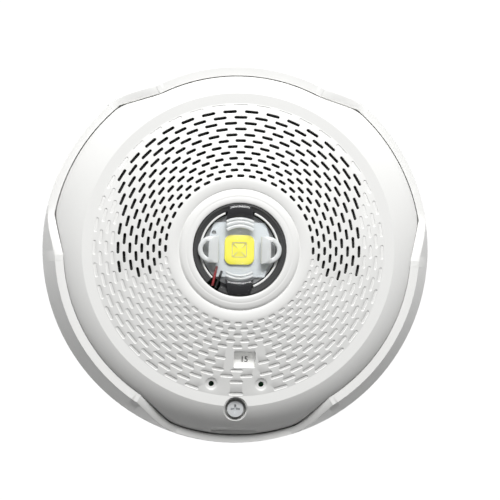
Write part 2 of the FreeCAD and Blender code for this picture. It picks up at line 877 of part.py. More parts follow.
def hooks():
    """Two tongues at the top that reach under the plate's rim."""
    body = new_body("hooks")
    sketch = sketch_on(body, height="edge_foot+hook_root-hook_thick")
    for side in ("-", ""):
        middle = "(head_recess_r-wall+head_recess_r+hook_reach)/2"
        block(sketch, f"{side}hook_x", middle, "hook_wide", "hook_reach+wall")
    pad(body, sketch, "hook_thick")
    return body


def strip_guides():
    """Two rails behind the front that the candela strip slides between."""
    body = new_body("strip_guides")
    sketch = sketch_on(body, height="strip_foot")
    for side in ("-", "+"):
        up = f"-window_z{side}(strip_tall/2+run_gap+guide_wall/2)"
        long = "strip_long+scale_step*scale_steps"
        block(sketch, "strip_x-scale_step*scale_steps/2", up, long, "guide_wall")
    pad(body, sketch, "hub_top-strip_foot")
    return trimmed(body)


def front_openings():
    """Lens bore, groove round the hub, scale window, two dimpled holes and the pry notch."""
    body = new_body("front_openings")
    add_disc(body, "0", "0", "lens_bore_r", "edge_foot", "2*bezel_top")
    add_block(body, "window_x", "-window_z", "window_wide", "window_tall", "edge_foot+wall", "bezel_top")
    for side in ("-", ""):
        across = f"{side}pin_hole_x"
        add_disc(body, across, "-pin_hole_z", "pin_hole_r", "edge_foot+wall", "bezel_top")
        add_disc(body, across, "-pin_hole_z", "pin_dimple_r", "face_at_pins-pin_dimple_deep", "bezel_top")
    add_block(body, "0", "-notch_z", "notch_wide", "notch_tall", "notch_floor", "bezel_top")
    groove = sketch_on(body, height="hub_top-hub_groove_deep")
    circle(groove, "0", "0", "hub_groove_r+hub_groove_wide/2")
    circle(groove, "0", "0", "hub_groove_r-hub_groove_wide/2")
    pad(body, groove, "bezel_top")
    return body


def screw_bore():
    """Bore in front of the screw's seat, hole through its shelf and room for the washer behind."""
    body = new_body("screw_bore")
    add_disc(body, "0", "-screw_z", "screw_bore_r", "screw_seat", "bezel_top")
    add_disc(body, "0", "-screw_z", "screw_shank_r+run_gap", "edge_foot", "bezel_top")
    add_disc(body, "0", "-screw_z", "washer_r+run_gap", "edge_foot", "screw_seat-screw_shelf-edge_foot")
    add_disc(body, "0", "-screw_z", "screw_lip_r", "shoulder_top-screw_lip_deep", "bezel_top")
    return body


def grille_slots():
    """Tool for the open slots: one row after another, every second row moved by half a step."""
    body = new_body("grille_slots")
    for row, count in enumerate(ROW_SLOTS):
        radius = f"(slot_first_r+{row}*slot_row_pitch)"
        face = f"(shoulder_top+(dish_r-{radius})*dish_slope)"
        half = f"({count - 1}*slot_turn/2)"
        sketch = sketch_on(body, height=f"{face}-slot_depth", turn=f"-{half}")
        length = f"({radius}*slot_turn*pi/180*slot_share)"
        slot(sketch, "0", radius, length, "slot_wide/2")
        around(body, [pad(body, sketch, "slot_depth+cut_over")], sketch, count, f"2*{half}")
    return body


# --- head: rear cover, board and fasteners -----------------------------------------------------


def rear_cover():
    """Flat cover that closes the head, with openings for the pins, knob, tone switch and screw tube."""
    lobe = "head_lobe_r-wall-cover_inset"
    body = wavy_prism("rear_cover", lobe, "head_recess_r-wall-fit_gap", "cover_foot", "cover_thick")
    cuts = sketch_on(body, height="cover_foot+cover_thick")
    circle(cuts, "0", "-screw_z", "screw_tube_r+fit_gap")
    block(cuts, "0", "-pin_z", "pins_wide", "pins_tall")
    block(cuts, "leg_middle", "-window_z", "leg_slot", "leg_tall+2*run_gap")
    block(cuts, "tone_x", "tone_z", "tone_side+2*fit_gap", "tone_side+2*fit_gap")
    for angle in COVER_ANGLES:
        across, up = polar("cover_screw_r", angle)
        circle(cuts, across, up, "cover_screw_shank_r+fit_gap")
    pocket(body, cuts, "2*cover_thick")
    return keep(body)


def screws_at(label, angles, ring_r, seat, head_r, head_tall, long):
    """Pan-head screws put in from behind: heads below the seat, shanks above it."""
    body = new_body(label)
    heads = sketch_on(body, height=f"{seat}-{head_tall}")
    shanks = sketch_on(body, height=seat)
    drives = sketch_on(body, height=f"{seat}-{head_tall}/2")
    for angle in angles:
        across, up = polar(ring_r, angle)
        circle(heads, across, up, head_r)
        circle(shanks, across, up, "cover_screw_shank_r-cover_screw_gap")
        cross(drives, across, up, f"{head_r}*1.1", f"{head_r}*0.3")
    pad(body, heads, head_tall)
    pad(body, shanks, long)
    pocket(body, drives, head_tall)
    return keep(body)


def cross(sketch, across, up, long, wide):
    """Outline of a cross recess."""
    a, b = f"({long})/2", f"({wide})/2"
    steps = [("-" + b, "-" + a), (b, "-" + a), (b, "-" + b), (a, "-" + b), (a, b), (b, b),
             (b, a), ("-" + b, a), ("-" + b, b), ("-" + a, b), ("-" + a, "-" + b), ("-" + b, "-" + b)]
    outline(sketch, [(f"({across})+({x})", f"({up})+({y})") for x, y in steps])


def main_board():
    """Round circuit board with room for the candela switch's leg and the holder's notch."""
    body = new_body("main_board")
    add_disc(body, "0", "0", "board_r", "board_foot", "board_thick")
    cuts = sketch_on(body, height="board_top")
    block(cuts, "leg_middle", "-window_z", "leg_slot", "leg_tall+2*run_gap")
    for way in range(TERMINALS):
        block(cuts, way_x(way), "-pin_z", "pin_wide", "pin_thick")
    for angle in POST_ANGLES:
        across, up = polar("post_ring_r", angle)
        circle(cuts, across, up, "cover_screw_shank_r")
    pocket(body, cuts, "2*board_thick")
    return keep(body)


def pin_header():
    """Moulded strip that holds the pins behind the board."""
    body = new_body("pin_header")
    add_block(body, "0", "-pin_z", "pins_wide-2*fit_gap", "pins_tall-2*fit_gap", "cover_foot+run_gap",
              "board_foot-cover_foot-run_gap")
    holes = sketch_on(body, height="board_foot")
    for way in range(TERMINALS):
        block(holes, way_x(way), "-pin_z", "pin_wide", "pin_thick")
    pocket(body, holes, "board_foot")
    return keep(body)


def contact_pins():
    """Flat pins that plug the head into the terminal block."""
    body = new_body("contact_pins")
    sketch = sketch_on(body, height="pin_tip")
    for way in range(TERMINALS):
        block(sketch, way_x(way), "-pin_z", "pin_wide", "pin_thick")
    pad(body, sketch, "board_top+pin_stub-pin_tip")
    return keep(body)


def acoustic_screen():
    """Thin dark screen behind the grille's open slots."""
    inner = "hub_top-wall-screen_gap-(screen_inner_r-hub_r)*dish_slope"
    outer = "shoulder_top-wall-screen_gap+(dish_r-screen_outer_r)*dish_slope"
    body = turned("acoustic_screen", [
        ("screen_inner_r", f"{inner}-screen_thick"),
        ("screen_outer_r", f"{outer}-screen_thick"),
        ("screen_outer_r", outer),
        ("screen_inner_r", inner),
    ])
    wedge = sketch_on(body, height="bezel_top")
    outline(wedge, [("0", "0"), polar("2*plate_r", "-180-(90-screen_half)"),
                    polar("2*plate_r", "90-screen_half")])
    pocket(body, wedge, "bezel_top")
    posts = sketch_on(body, height="bezel_top")
    for angle in POST_ANGLES[:2]:
        across, up = polar("post_ring_r", angle)
        circle(posts, across, up, "post_r+fit_gap")
    pocket(body, posts, "bezel_top")
    return keep(body)


# --- horn --------------------------------------------------------------------------------------


def horn_chamber():
    """Cup on the board that holds the sounder disc under a round mouth."""
    body = new_body("horn_chamber")
    add_disc(body, "0", "horn_z", "horn_r", "board_top", "horn_top-board_top")
    cut_disc(body, "0", "horn_z", "horn_mouth_r", "horn_top", "horn_wall+cut_over")
    cut_disc(body, "0", "horn_z", "disc_r", "horn_top-horn_wall", "horn_top-horn_wall-disc_foot")
    cut_disc(body, "0", "horn_z", "disc_r-disc_ledge", "disc_foot", "disc_foot")
    return keep(body)


def horn_disc():
    """Brass disc of the sounder."""
    body = new_body("horn_disc")
    add_disc(body, "0", "horn_z", "disc_r", "disc_foot", "disc_thick")
    return keep(body)


def horn_ceramic():
    """Piezo ceramic under the brass disc."""
    body = new_body("horn_ceramic")
    add_disc(body, "0", "horn_z", "ceramic_r", "disc_foot-ceramic_thick", "ceramic_thick")
    return keep(body)


# --- strobe ------------------------------------------------------------------------------------


def cut_lead_notch(body, top, deep):
    across, up = polar("holder_r-lead_notch_in", LEAD_NOTCH_ANGLE)
    cut_block(body, across, up, "lead_notch_side", "lead_notch_side", top, deep)


def lens_holder():
    """Tube from the board up to the lens, with a shelf for the heat sink."""
    shelf_r = "holder_bore_r-sink_shelf"
    shelf_top = "holder_top-sink_thick"
    body = turned("lens_holder", [
        (shelf_r, f"{shelf_top}-shelf_thick"), ("holder_bore_r", f"{shelf_top}-shelf_thick"),
        ("holder_bore_r", "board_top"), ("holder_r", "board_top"), ("holder_r", "holder_top"),
        ("holder_bore_r", "holder_top"), ("holder_bore_r", shelf_top), (shelf_r, shelf_top),
    ])
    cut_lead_notch(body, "holder_top", "holder_top-board_top")
    return keep(body)


def heat_sink():
    """Aluminium slug under the lamp board."""
    body = new_body("heat_sink")
    add_disc(body, "0", "0", "holder_bore_r-fit_gap", "holder_top-sink_thick", "sink_thick")
    return keep(body)


def lens_seal():
    """Soft ring between the holder and the collar."""
    body = ring("lens_seal", "collar_bore_r+seal_edge", "holder_r", "holder_top", "seal_thick")
    cut_lead_notch(body, "holder_top+seal_thick", "2*seal_thick")
    return keep(body)


def lens_collar():
    """Dark stepped collar round the lamp."""
    body = turned("lens_collar", [
        ("collar_bore_r", "holder_top+seal_thick"), ("holder_r", "holder_top+seal_thick"),
        ("holder_r", "collar_top"), ("collar_step_r", "collar_top"),
        ("collar_step_r", "collar_top-collar_step"), ("collar_bore_r", "collar_top-2*collar_step"),
    ])
    cut_lead_notch(body, "collar_top", "collar_top")
    return keep(body)


def trim_ring():
    """White ring between the lamp board and the collar, open under the optic's two lobes."""
    foot = "holder_top+trim_gap"
    body = ring("trim_ring", "trim_bore_r", "collar_bore_r-trim_gap", foot, f"trim_top-({foot})")
    cut_block(body, "0", "0", "2*optic_lobe_half", "3*lens_bore_r", "trim_top", "trim_top")
    cut_lead_notch(body, "trim_top", "trim_top")
    return keep(body)


def lamp_board():
    """Eight-sided board that carries the lamp, with one corner notched for the leads."""
    body = new_body("lamp_board")
    sketch = sketch_on(body, height="holder_top")
    half, flat = "led_board_half", "led_board_flat"
    end, slope = "led_board_end", "led_board_slope"
    quarter = [(half, flat), (slope, end)]
    upper = quarter + [("-" + across, up) for across, up in reversed(quarter)]
    lower = [(f"-({across})", "-" + up) for across, up in upper]
    outline(sketch, upper + lower)
    pad(body, sketch, "led_board_thick")
    cut_block(body, "-led_board_half", "-led_board_end", "2*(led_board_half-led_notch_x)",
              "2*(led_board_end-led_notch_z)", "holder_top+led_board_thick", "2*led_board_thick")
    up = "led_board_flat+led_hole_rise"
    cut_disc(body, "-led_board_slope", up, "led_hole_r", "holder_top+led_board_thick", "2*led_board_thick")
    return keep(body)


def rounded_square(sketch, side, radius):
    a, b = f"{side}/2", f"({side}/2-{radius})"
    outline(sketch, [("-" + b, "-" + a), (b, "-" + a, radius), (a, "-" + b), (a, b, radius),
                     (b, a), ("-" + b, a, radius), ("-" + a, b), ("-" + a, "-" + b, radius)])


def lamp_body():
    """Square lamp package with round corners."""
    body = new_body("lamp_body")
    sketch = sketch_on(body, height="holder_top+led_board_thick")
    rounded_square(sketch, "led_side", "led_round")
    pad(body, sketch, "led_body_thick")
    return keep(body)


def lamp_phosphor():
    """Yellow phosphor over the lamp's dies."""
    body = new_body("lamp_phosphor")
    sketch = sketch_on(body, height="holder_top+led_board_thick+led_body_thick")
    rounded_square(sketch, "die_side", "led_round/2")
    pad(body, sketch, "die_thick")
    return keep(body)


def lens_optic():
    """Clear dome over the lamp with two eared sides and two lobes that sit on the collar."""
    dome = turned("optic_dome", [
        ("0", "collar_top"), ("optic_r", "collar_top", "-optic_bend"),
        ("optic_crown_r", "optic_top"), ("0", "optic_top"),
    ])
    tabs = new_body("optic_tabs")
    sketch = sketch_on(tabs, height="collar_top")
    rounded_tab(sketch, "optic_ear_reach", "optic_ear_half")
    pad(tabs, sketch, "optic_tab_thick")
    lobes = new_body("optic_lobes")
    sketch = sketch_on(lobes, height="collar_top")
    block(sketch, "0", "0", "2*optic_lobe_half", "2*optic_lobe_reach")
    pad(lobes, sketch, "optic_tab_thick")
    whole = fuse("optic_whole", [dome, tabs, lobes])
    cuts = new_body("optic_cuts")
    add_disc(cuts, "0", "0", "optic_bore_r", "collar_top-cut_over", "optic_roof-collar_top+cut_over")
    holes = sketch_on(cuts, height="collar_top-cut_over")
    for side in ("-", ""):
        tall = "2*(optic_hole_half+optic_hole_r)"
        slot(holes, f"{side}optic_hole_x", "0", tall, "optic_hole_r", upright=True)
    pad(cuts, holes, "optic_tab_thick+2*cut_over")
    return keep(boolean("Cut", "lens_optic", whole, cuts))


def rounded_tab(sketch, reach, half):
    """Bar across the lens whose ends are half round."""
    outline(sketch, [(f"-({reach}-{half})", "-" + half), (f"{reach}-{half}", "-" + half, HALF_ROUND),
                     (f"{reach}-{half}", half), (f"-({reach}-{half})", half, HALF_ROUND)])


def lead(label, points):
    """Insulated wire along straight runs joined by tangent arcs."""
    radius = size("lead_r")
    bend = size("lead_bend")
    corners = [FreeCAD.Vector(x, -height, z) for x, z, height in points]
    edges = []
    start = corners[0]
    for before, corner, after in zip(corners, corners[1:], corners[2:]):
        back = (before - corner).normalize()
        ahead = (after - corner).normalize()
        half = back.getAngle(ahead) / 2
        trim = bend / math.tan(half)
        inwards = (back + ahead).normalize()
        middle = corner + inwards * (bend / math.sin(half) - bend)
        edges.append(Part.LineSegment(start, corner + back * trim).toShape())
        edges.append(Part.Arc(corner + back * trim, middle, corner + ahead * trim).toShape())
        start = corner + ahead * trim
    edges.append(Part.LineSegment(start, corners[-1]).toShape())
    section = Part.Wire(Part.Circle(corners[0], corners[1] - corners[0], radius).toShape())
    piece = doc.addObject("Part::Feature", label)
    piece.Shape = Part.Wire(edges).makePipeShell([section], True, False)
    piece.Placement = FreeCAD.Placement()
    return keep(piece)


def lamp_leads():
    """Red and black leads from the lamp board down through the notch to the main board."""
    board = size("board_top")
    rise = size("holder_top+led_board_thick+lead_r")
    lift = size("lead_lift")
    for label, on_board, turn in LEADS:
        corner = polar("holder_r-lead_r-2*fit_gap", LEAD_NOTCH_ANGLE + turn)
        across, up = (size(formula) for formula in corner)
        lead(label, [(*on_board, rise), (across, up, rise + lift), (across, up, board)])


# --- switches ----------------------------------------------------------------------------------


def candela_slider():
    """Strip behind the window with a leg through the board and cover to a knob at the back."""
    body = new_body("candela_slider")
    add_block(body, "strip_x", "-window_z", "strip_long", "strip_tall", "strip_foot", "strip_thick")
    add_block(body, "leg_x", "-window_z", "leg_wide", "leg_tall", "knob_foot", "strip_foot-knob_foot")
    thick = "cover_foot-run_gap-knob_foot"
    add_block(body, "leg_x", "-window_z", "knob_wide", "knob_tall", "knob_foot", thick)
    return keep(body)


def tone_switch():
    """Square body of the rotary tone switch, let into the rear cover."""
    body = new_body("tone_switch")
    add_block(body, "tone_x", "tone_z", "tone_side", "tone_side", "tone_foot", "board_foot-tone_foot")
    dial_room = "tone_dial_top+tone_dial_gap"
    cut_disc(body, "tone_x", "tone_z", "tone_dial_r+tone_dial_gap", dial_room, "tone_dial_top")
    return keep(body)


def tone_dial():
    """Dial of the tone switch, turned with a screwdriver from behind."""
    body = new_body("tone_dial")
    add_disc(body, "tone_x", "tone_z", "tone_dial_r", "tone_dial_foot", "tone_dial_top-tone_dial_foot")
    floor = "tone_dial_foot+tone_slot_deep"
    long = "2*(tone_dial_r-tone_slot_end)"
    cut_block(body, "tone_x", "tone_z", long, "tone_slot_wide", floor, "tone_dial_foot")
    return keep(body)


# --- captive screw -----------------------------------------------------------------------------


def mounting_screw():
    """Pan-head screw with a cross recess, held in the head."""
    body = new_body("mounting_screw")
    add_disc(body, "0", "-screw_z", "screw_shank_r", "screw_tip", "screw_seat-screw_tip")
    add_disc(body, "0", "-screw_z", "screw_head_r", "screw_seat", "screw_head_tall")
    recess = sketch_on(body, height="screw_seat+screw_head_tall")
    cross(recess, "0", "-screw_z", "screw_drive_long", "screw_drive_wide")
    pocket(body, recess, "screw_drive_deep")
    return keep(body)


def screw_washer():
    """Washer on the shank that keeps the screw in the head."""
    body = new_body("screw_washer")
    sketch = sketch_on(body, height="washer_foot")
    circle(sketch, "0", "-screw_z", "washer_r")
    circle(sketch, "0", "-screw_z", "screw_shank_r+washer_bore_gap")
    pad(body, sketch, "washer_thick")
    return keep(body)


# --- parts on the board ------------------------------------------------------------------------


def capacitors():
    """Cans of the capacitors and the moulded bases that they stand on."""
    bases = new_body("capacitor_bases")
    cans = new_body("capacitors")
    foot = sketch_on(bases, height="board_top")
    can = sketch_on(cans, height="board_top+can_base")
    for across, up in CAN_PLACES:
        block(foot, str(across), str(up), "2*(can_r+can_base_edge)", "2*(can_r+can_base_edge)")
        circle(can, str(across), str(up), "can_r")
    pad(bases, foot, "can_base")
    pad(cans, can, "can_tall")
    keep(bases)
    return keep(cans)


def inductor():
    """Ferrite bobbin and its winding."""
    across, up = (str(number) for number in COIL_PLACE)
    core = new_body("inductor_core")
    add_disc(core, across, up, "coil_flange_r", "board_top", "coil_flange_thick")
    add_disc(core, across, up, "coil_core_r", "board_top+coil_flange_thick", "coil_tall-2*coil_flange_thick")
    add_disc(core, across, up, "coil_flange_r", "board_top+coil_tall-coil_flange_thick", "coil_flange_thick")
    keep(core)
    coil = new_body("inductor_coil")
    sketch = sketch_on(coil, height="board_top+coil_flange_thick")
    circle(sketch, across, up, "coil_flange_r-coil_edge")
    circle(sketch, across, up, "coil_core_r")
    pad(coil, sketch, "coil_tall-2*coil_flange_thick")
    return keep(coil)


def chips():
    """Controller and driver chips."""
    body = new_body("circuit_chips")
    sketch = sketch_on(body, height="board_top")
    for across, up in CHIP_PLACES:
        block(sketch, str(across), str(up), "chip_side", "chip_side")
    pad(body, sketch, "chip_thick")
    return keep(body)


# --- build, check and write --------------------------------------------------------------------


def build():
    for make in (mounting_plate, screw_insert, terminal_block, terminal_contacts, terminal_clamps,
                 terminal_screws, shorting_spring, front_housing, rear_cover, main_board, pin_header,
                 contact_pins, acoustic_screen, horn_chamber, horn_disc, horn_ceramic, lens_holder, heat_sink,
                 lens_seal, lens_collar, trim_ring, lamp_board, lamp_body, lamp_phosphor, lens_optic,
                 lamp_leads, candela_slider, tone_switch, tone_dial, mounting_screw, screw_washer, capacitors,
                 inductor, chips):
        make()
    screws_at("cover_screws", COVER_ANGLES, "cover_screw_r", "cover_foot", "cover_screw_head_r",
              "cover_screw_head_tall", "cover_thick+cover_screw_long-run_gap")
    screws_at("board_screws", POST_ANGLES, "post_ring_r", "board_foot", "board_screw_head_r",
              "board_screw_head_tall", "board_thick+board_screw_long")
    doc.recompute()


def check():
    """Stops before anything is written if a feature failed or a piece is empty or broken."""
    for item in doc.Objects:
        if "Invalid" in item.State or "Error" in item.State:
            raise RuntimeError(f"{item.Name} failed: {item.State}")
    for piece in pieces:
        if piece.Shape.isNull() or not piece.Shape.isValid() or not piece.Shape.Solids:
            raise RuntimeError(f"{piece.Label} has no valid solid")


def write():
    os.makedirs("parts", exist_ok=True)
    for piece in pieces:
        piece.Shape.exportStep(f"parts/{piece.Label}.step")

build()
check()
write()
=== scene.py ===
"""Looks for the round horn strobe: a detailed front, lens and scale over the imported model."""
import json
import math
from functools import partial

import bmesh
import bpy
from mathutils import Matrix, Vector
from mathutils.geometry import delaunay_2d_cdt


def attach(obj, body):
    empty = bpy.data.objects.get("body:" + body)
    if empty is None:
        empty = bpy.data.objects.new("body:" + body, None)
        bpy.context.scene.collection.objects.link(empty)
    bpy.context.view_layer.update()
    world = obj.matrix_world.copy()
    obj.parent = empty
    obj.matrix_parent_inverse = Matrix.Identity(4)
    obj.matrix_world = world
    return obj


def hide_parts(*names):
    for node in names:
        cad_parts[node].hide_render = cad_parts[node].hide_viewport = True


MM = 0.001
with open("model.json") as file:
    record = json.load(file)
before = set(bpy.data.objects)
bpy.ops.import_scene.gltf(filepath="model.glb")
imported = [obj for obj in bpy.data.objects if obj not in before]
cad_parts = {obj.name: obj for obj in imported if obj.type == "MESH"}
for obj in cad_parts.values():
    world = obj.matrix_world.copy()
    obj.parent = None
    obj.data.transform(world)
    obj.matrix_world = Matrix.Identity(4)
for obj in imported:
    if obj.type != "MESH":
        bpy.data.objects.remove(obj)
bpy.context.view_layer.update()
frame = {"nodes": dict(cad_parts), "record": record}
NODES = frame["nodes"]

# --- camera ------------------------------------------------------------------------------------

CAMERA_TURN = math.radians(-4.0)
CAMERA_ROLL = math.radians(1.0)
CAMERA_FAR = 1.7
FRAME_SPAN = 0.2240
AIM = Vector((0.0063, -0.004, 0.0))


def add_camera():
    """Long lens a little to one side of straight in front."""
    data = bpy.data.cameras.new("camera")
    data.sensor_width = 36.0
    data.lens = data.sensor_width * CAMERA_FAR / FRAME_SPAN
    camera = bpy.data.objects.new("camera", data)
    bpy.context.scene.collection.objects.link(camera)
    back = Vector((math.sin(CAMERA_TURN), -math.cos(CAMERA_TURN), 0.0))
    camera.location = AIM + back * CAMERA_FAR
    turn = back.to_track_quat("Z", "Y").to_matrix().to_4x4()
    camera.rotation_euler = turn.to_euler()
    camera.rotation_euler.rotate_axis("Z", CAMERA_ROLL)
    bpy.context.scene.camera = camera


# --- light and floor ---------------------------------------------------------------------------

KEY_PLACE = (0.06, -1.22, 1.18)
KEY_WIDE = 1.0
KEY_TALL = 0.7
KEY_POWER = 6.9
KEY_SPREAD = 70.0


def add_key_light():
    """One soft box above and in front of the device."""
    data = bpy.data.lights.new("key", "AREA")
    data.shape = "RECTANGLE"
    data.size, data.size_y = KEY_WIDE, KEY_TALL
    data.energy = KEY_POWER
    data.spread = math.radians(KEY_SPREAD)
    light = bpy.data.objects.new("key", data)
    light.location = KEY_PLACE
    light.rotation_euler = Vector(KEY_PLACE).to_track_quat("Z", "Y").to_euler()
    bpy.context.scene.collection.objects.link(light)


WORLD_BELOW = 0.05
WORLD_FRONT = 0.12
WORLD_BEHIND = 1.05
FADE_HEIGHTS = (-0.65, 0.35)
EDGE_DEPTHS = (-0.02, 0.14)


def add_world():
    """White behind the device; in front of it soft light that fades towards the floor."""
    world = bpy.data.worlds.new("studio")
    bpy.context.scene.world = world
    world.use_nodes = True
    nodes, links = world.node_tree.nodes, world.node_tree.links
    nodes.clear()
    coordinates = nodes.new("ShaderNodeTexCoord")
    split = nodes.new("ShaderNodeSeparateXYZ")
    links.new(coordinates.outputs["Generated"], split.inputs[0])
    front = map_range(nodes, links, split.outputs["Z"], FADE_HEIGHTS, (WORLD_BELOW, WORLD_FRONT))
    behind = map_range(nodes, links, split.outputs["Y"], EDGE_DEPTHS, (0.0, 1.0))
    level = nodes.new("ShaderNodeMix")
    links.new(behind.outputs["Result"], level.inputs["Factor"])
    links.new(front.outputs["Result"], level.inputs["A"])
    level.inputs["B"].default_value = WORLD_BEHIND
    background = nodes.new("ShaderNodeBackground")
    background.inputs["Color"].default_value = (1, 1, 1, 1)
    output = nodes.new("ShaderNodeOutputWorld")
    links.new(level.outputs["Result"], background.inputs["Strength"])
    links.new(background.outputs[0], output.inputs["Surface"])


def map_range(nodes, links, value, source, target):
    """A smooth step of a value from one range to another."""
    node = nodes.new("ShaderNodeMapRange")
    node.interpolation_type = "SMOOTHSTEP"
    node.inputs["From Min"].default_value, node.inputs["From Max"].default_value = source
    node.inputs["To Min"].default_value, node.inputs["To Max"].default_value = target
    links.new(value, node.inputs["Value"])
    return node


FLOOR_R = 0.9
FLOOR_PLACE = (0, 0.95, -0.55)


def add_floor():
    """Pale round floor below and behind the device."""
    mesh = bpy.data.meshes.new("floor")
    shape = bmesh.new()
    bmesh.ops.create_circle(shape, cap_ends=True, segments=96, radius=FLOOR_R)
    shape.to_mesh(mesh)
    shape.free()
    floor = bpy.data.objects.new("floor", mesh)
    floor.location = FLOOR_PLACE
    bpy.context.scene.collection.objects.link(floor)
    floor.data.materials.append(plastic("floor_paper", (0.8, 0.8, 0.8), 0.9, 0.02))


# --- materials ---------------------------------------------------------------------------------

def plastic(name, colour, roughness, vary=0.03, grain=0.25, grain_size=0.35, coat=0.0, metal=0.0):
    """Moulded surface: slow change of tone, fine grain in roughness and relief."""
    material = bpy.data.materials.new(name)
    material.use_nodes = True
    nodes, links = material.node_tree.nodes, material.node_tree.links
    shader = nodes["Principled BSDF"]
    shader.inputs["Metallic"].default_value = metal
    shader.inputs["Coat Weight"].default_value = coat
    coordinates = nodes.new("ShaderNodeTexCoord")
    cloud = nodes.new("ShaderNodeTexNoise")
    cloud.inputs["Scale"].default_value = 28.0
    cloud.inputs["Detail"].default_value = 4.0
    links.new(coordinates.outputs["Object"], cloud.inputs["Vector"])
    tone = nodes.new("ShaderNodeMix")
    tone.data_type = "RGBA"
    tone.inputs["A"].default_value = (*[max(0.0, c * (1 - vary)) for c in colour], 1)
    tone.inputs["B"].default_value = (*[min(1.0, c * (1 + vary)) for c in colour], 1)
    links.new(cloud.outputs["Fac"], tone.inputs["Factor"])
    links.new(tone.outputs["Result"], shader.inputs["Base Color"])
    speck = nodes.new("ShaderNodeTexNoise")
    speck.inputs["Scale"].default_value = 1.0 / (grain_size * MM)
    speck.inputs["Detail"].default_value = 3.0
    links.new(coordinates.outputs["Object"], speck.inputs["Vector"])
    rough = nodes.new("ShaderNodeMapRange")
    rough.inputs["To Min"].default_value = roughness * 0.85
    rough.inputs["To Max"].default_value = min(1.0, roughness * 1.15)
    links.new(speck.outputs["Fac"], rough.inputs["Value"])
    links.new(rough.outputs["Result"], shader.inputs["Roughness"])
    bump = nodes.new("ShaderNodeBump")
    bump.inputs["Strength"].default_value = grain
    bump.inputs["Distance"].default_value = 0.02 * MM
    links.new(speck.outputs["Fac"], bump.inputs["Height"])
    links.new(bump.outputs["Normal"], shader.inputs["Normal"])
    return material


def dress(node, material):
    """Gives a carried-over piece its finished material."""
    piece = NODES[node]
    piece.data.materials.clear()
    piece.data.materials.append(material)


# --- front shell -------------------------------------------------------------------------------
# Sizes in millimetres, as in the model. Height is measured from the wall.

HEAD_LOBE_R = 82.4
HEAD_RECESS_R = 77.1
LOBE_HALF = 20.0
RAMP_SPAN = 12.5
RAMP_ROUND = 2.0
SIDE_REACH = 0.3
EDGE_FOOT = 4.0
EDGE_TOP = 8.8
SHOULDER_R = 69.5
SHOULDER_TOP = 20.5
SHOULDER_BEND = 24.0
DISH_R = 65.0
HUB_R = 31.0
HUB_TOP = 28.0
WALL = 2.0
BEZEL_TOP = 29.7
ROW_FIRST_R = 32.7
ROW_PITCH = 2.6
ROW_TURN = math.radians(9.0)
ROWS = 13
ROW_SLOTS = (21, 22, 23, 24, 23, 24, 23, 22, 23, 16, 15, 14, 0)
SLOT_HALF_WIDE = 0.625
SLOT_SHARE = 0.63
BLIND_DEEP = 0.3
WINDOW = (3.4, -48.6, 9.5, 7.2)
PIN_HOLES = ((-11.05, -59.5), (11.05, -59.5))
PIN_HOLE_R = 1.2
PIN_DIMPLE_R = 2.75
SCREW_Z = -70.7
SCREW_BORE_R = 4.8
SCREW_LIP_R = 5.3
SCREW_SHANK_R = 1.95
NOTCH = (0.0, -80.3, 19.9, 1.1)
RING_POINTS = 240


def shoulder_centre():
    """Centre of the shoulder's arc, as radius and height."""
    low, high = Vector((HEAD_LOBE_R, EDGE_TOP)), Vector((SHOULDER_R, SHOULDER_TOP))
    chord = high - low
    drop = math.sqrt(SHOULDER_BEND ** 2 - (chord.length / 2) ** 2)
    return (low + high) / 2 - Vector((chord.y, -chord.x)).normalized() * drop


SHOULDER_CENTRE = shoulder_centre()


def face_height(x, z):
    """Height of the shell's face above the wall."""
    r = math.hypot(x, z)
    if r >= SHOULDER_R:
        return SHOULDER_CENTRE.y + math.sqrt(max(SHOULDER_BEND ** 2 - (r - SHOULDER_CENTRE.x) ** 2, 0.0))
    if r >= DISH_R:
        return SHOULDER_TOP
    return SHOULDER_TOP + (DISH_R - max(r, HUB_R)) * (HUB_TOP - SHOULDER_TOP) / (DISH_R - HUB_R)


def wavy_radius(angle, lobe, recess):
    """Radius of the three-lobed line; angle in degrees from the bottom."""
    away = abs((angle + 60.0) % 120.0 - 60.0)
    if away <= LOBE_HALF:
        return lobe
    if away >= LOBE_HALF + RAMP_SPAN:
        return recess
    high = math.radians(RAMP_SPAN)
    here = math.radians(away - LOBE_HALF)
    cross = recess * math.sin(high)
    run = lobe - recess * math.cos(high)
    return lobe * cross / (cross * math.cos(here) + run * math.sin(here))


def wavy_loop(inset, lobe=HEAD_LOBE_R, recess=HEAD_RECESS_R, count=720):
    """The joint line moved inwards, its corners rounded by averaging over a few degrees."""
    points = []
    for number in range(count):
        angle = 360.0 * number / count
        close = SIDE_REACH if abs(angle - 180.0) > 60.0 else 0.0
        steps = [angle + RAMP_ROUND * step / 2 for step in (-2, -1, 0, 1, 2)]
        r = sum(wavy_radius(step, lobe - inset, recess - inset + close) for step in steps) / len(steps)
        points.append((r * math.sin(math.radians(angle)), -r * math.cos(math.radians(angle))))
    return points


def ring_points(cx, cz, r, count, grow=0.0):
    """Points round a circle, from its bottom."""
    points = []
    for number in range(count):
        turn = 2 * math.pi * number / count
        points.append((cx + (r + grow) * math.sin(turn), cz - (r + grow) * math.cos(turn)))
    return points


def slot_points(r0, angle, grow):
    """A straight slot with round ends across the radius at an angle from the top."""
    half = r0 * ROW_TURN * SLOT_SHARE / 2 - SLOT_HALF_WIDE
    out = Vector((math.sin(angle), math.cos(angle)))
    along = Vector((out.y, -out.x))
    middle = out * r0
    points = []
    for side in (1, -1):
        for step in range(7):
            turn = math.pi * step / 6 - math.pi / 2
            offset = along * (side * (half + math.cos(turn) * (SLOT_HALF_WIDE + grow)))
            rise = out * (side * math.sin(turn) * -(SLOT_HALF_WIDE + grow))
            points.append(tuple(middle + offset + rise))
    return points


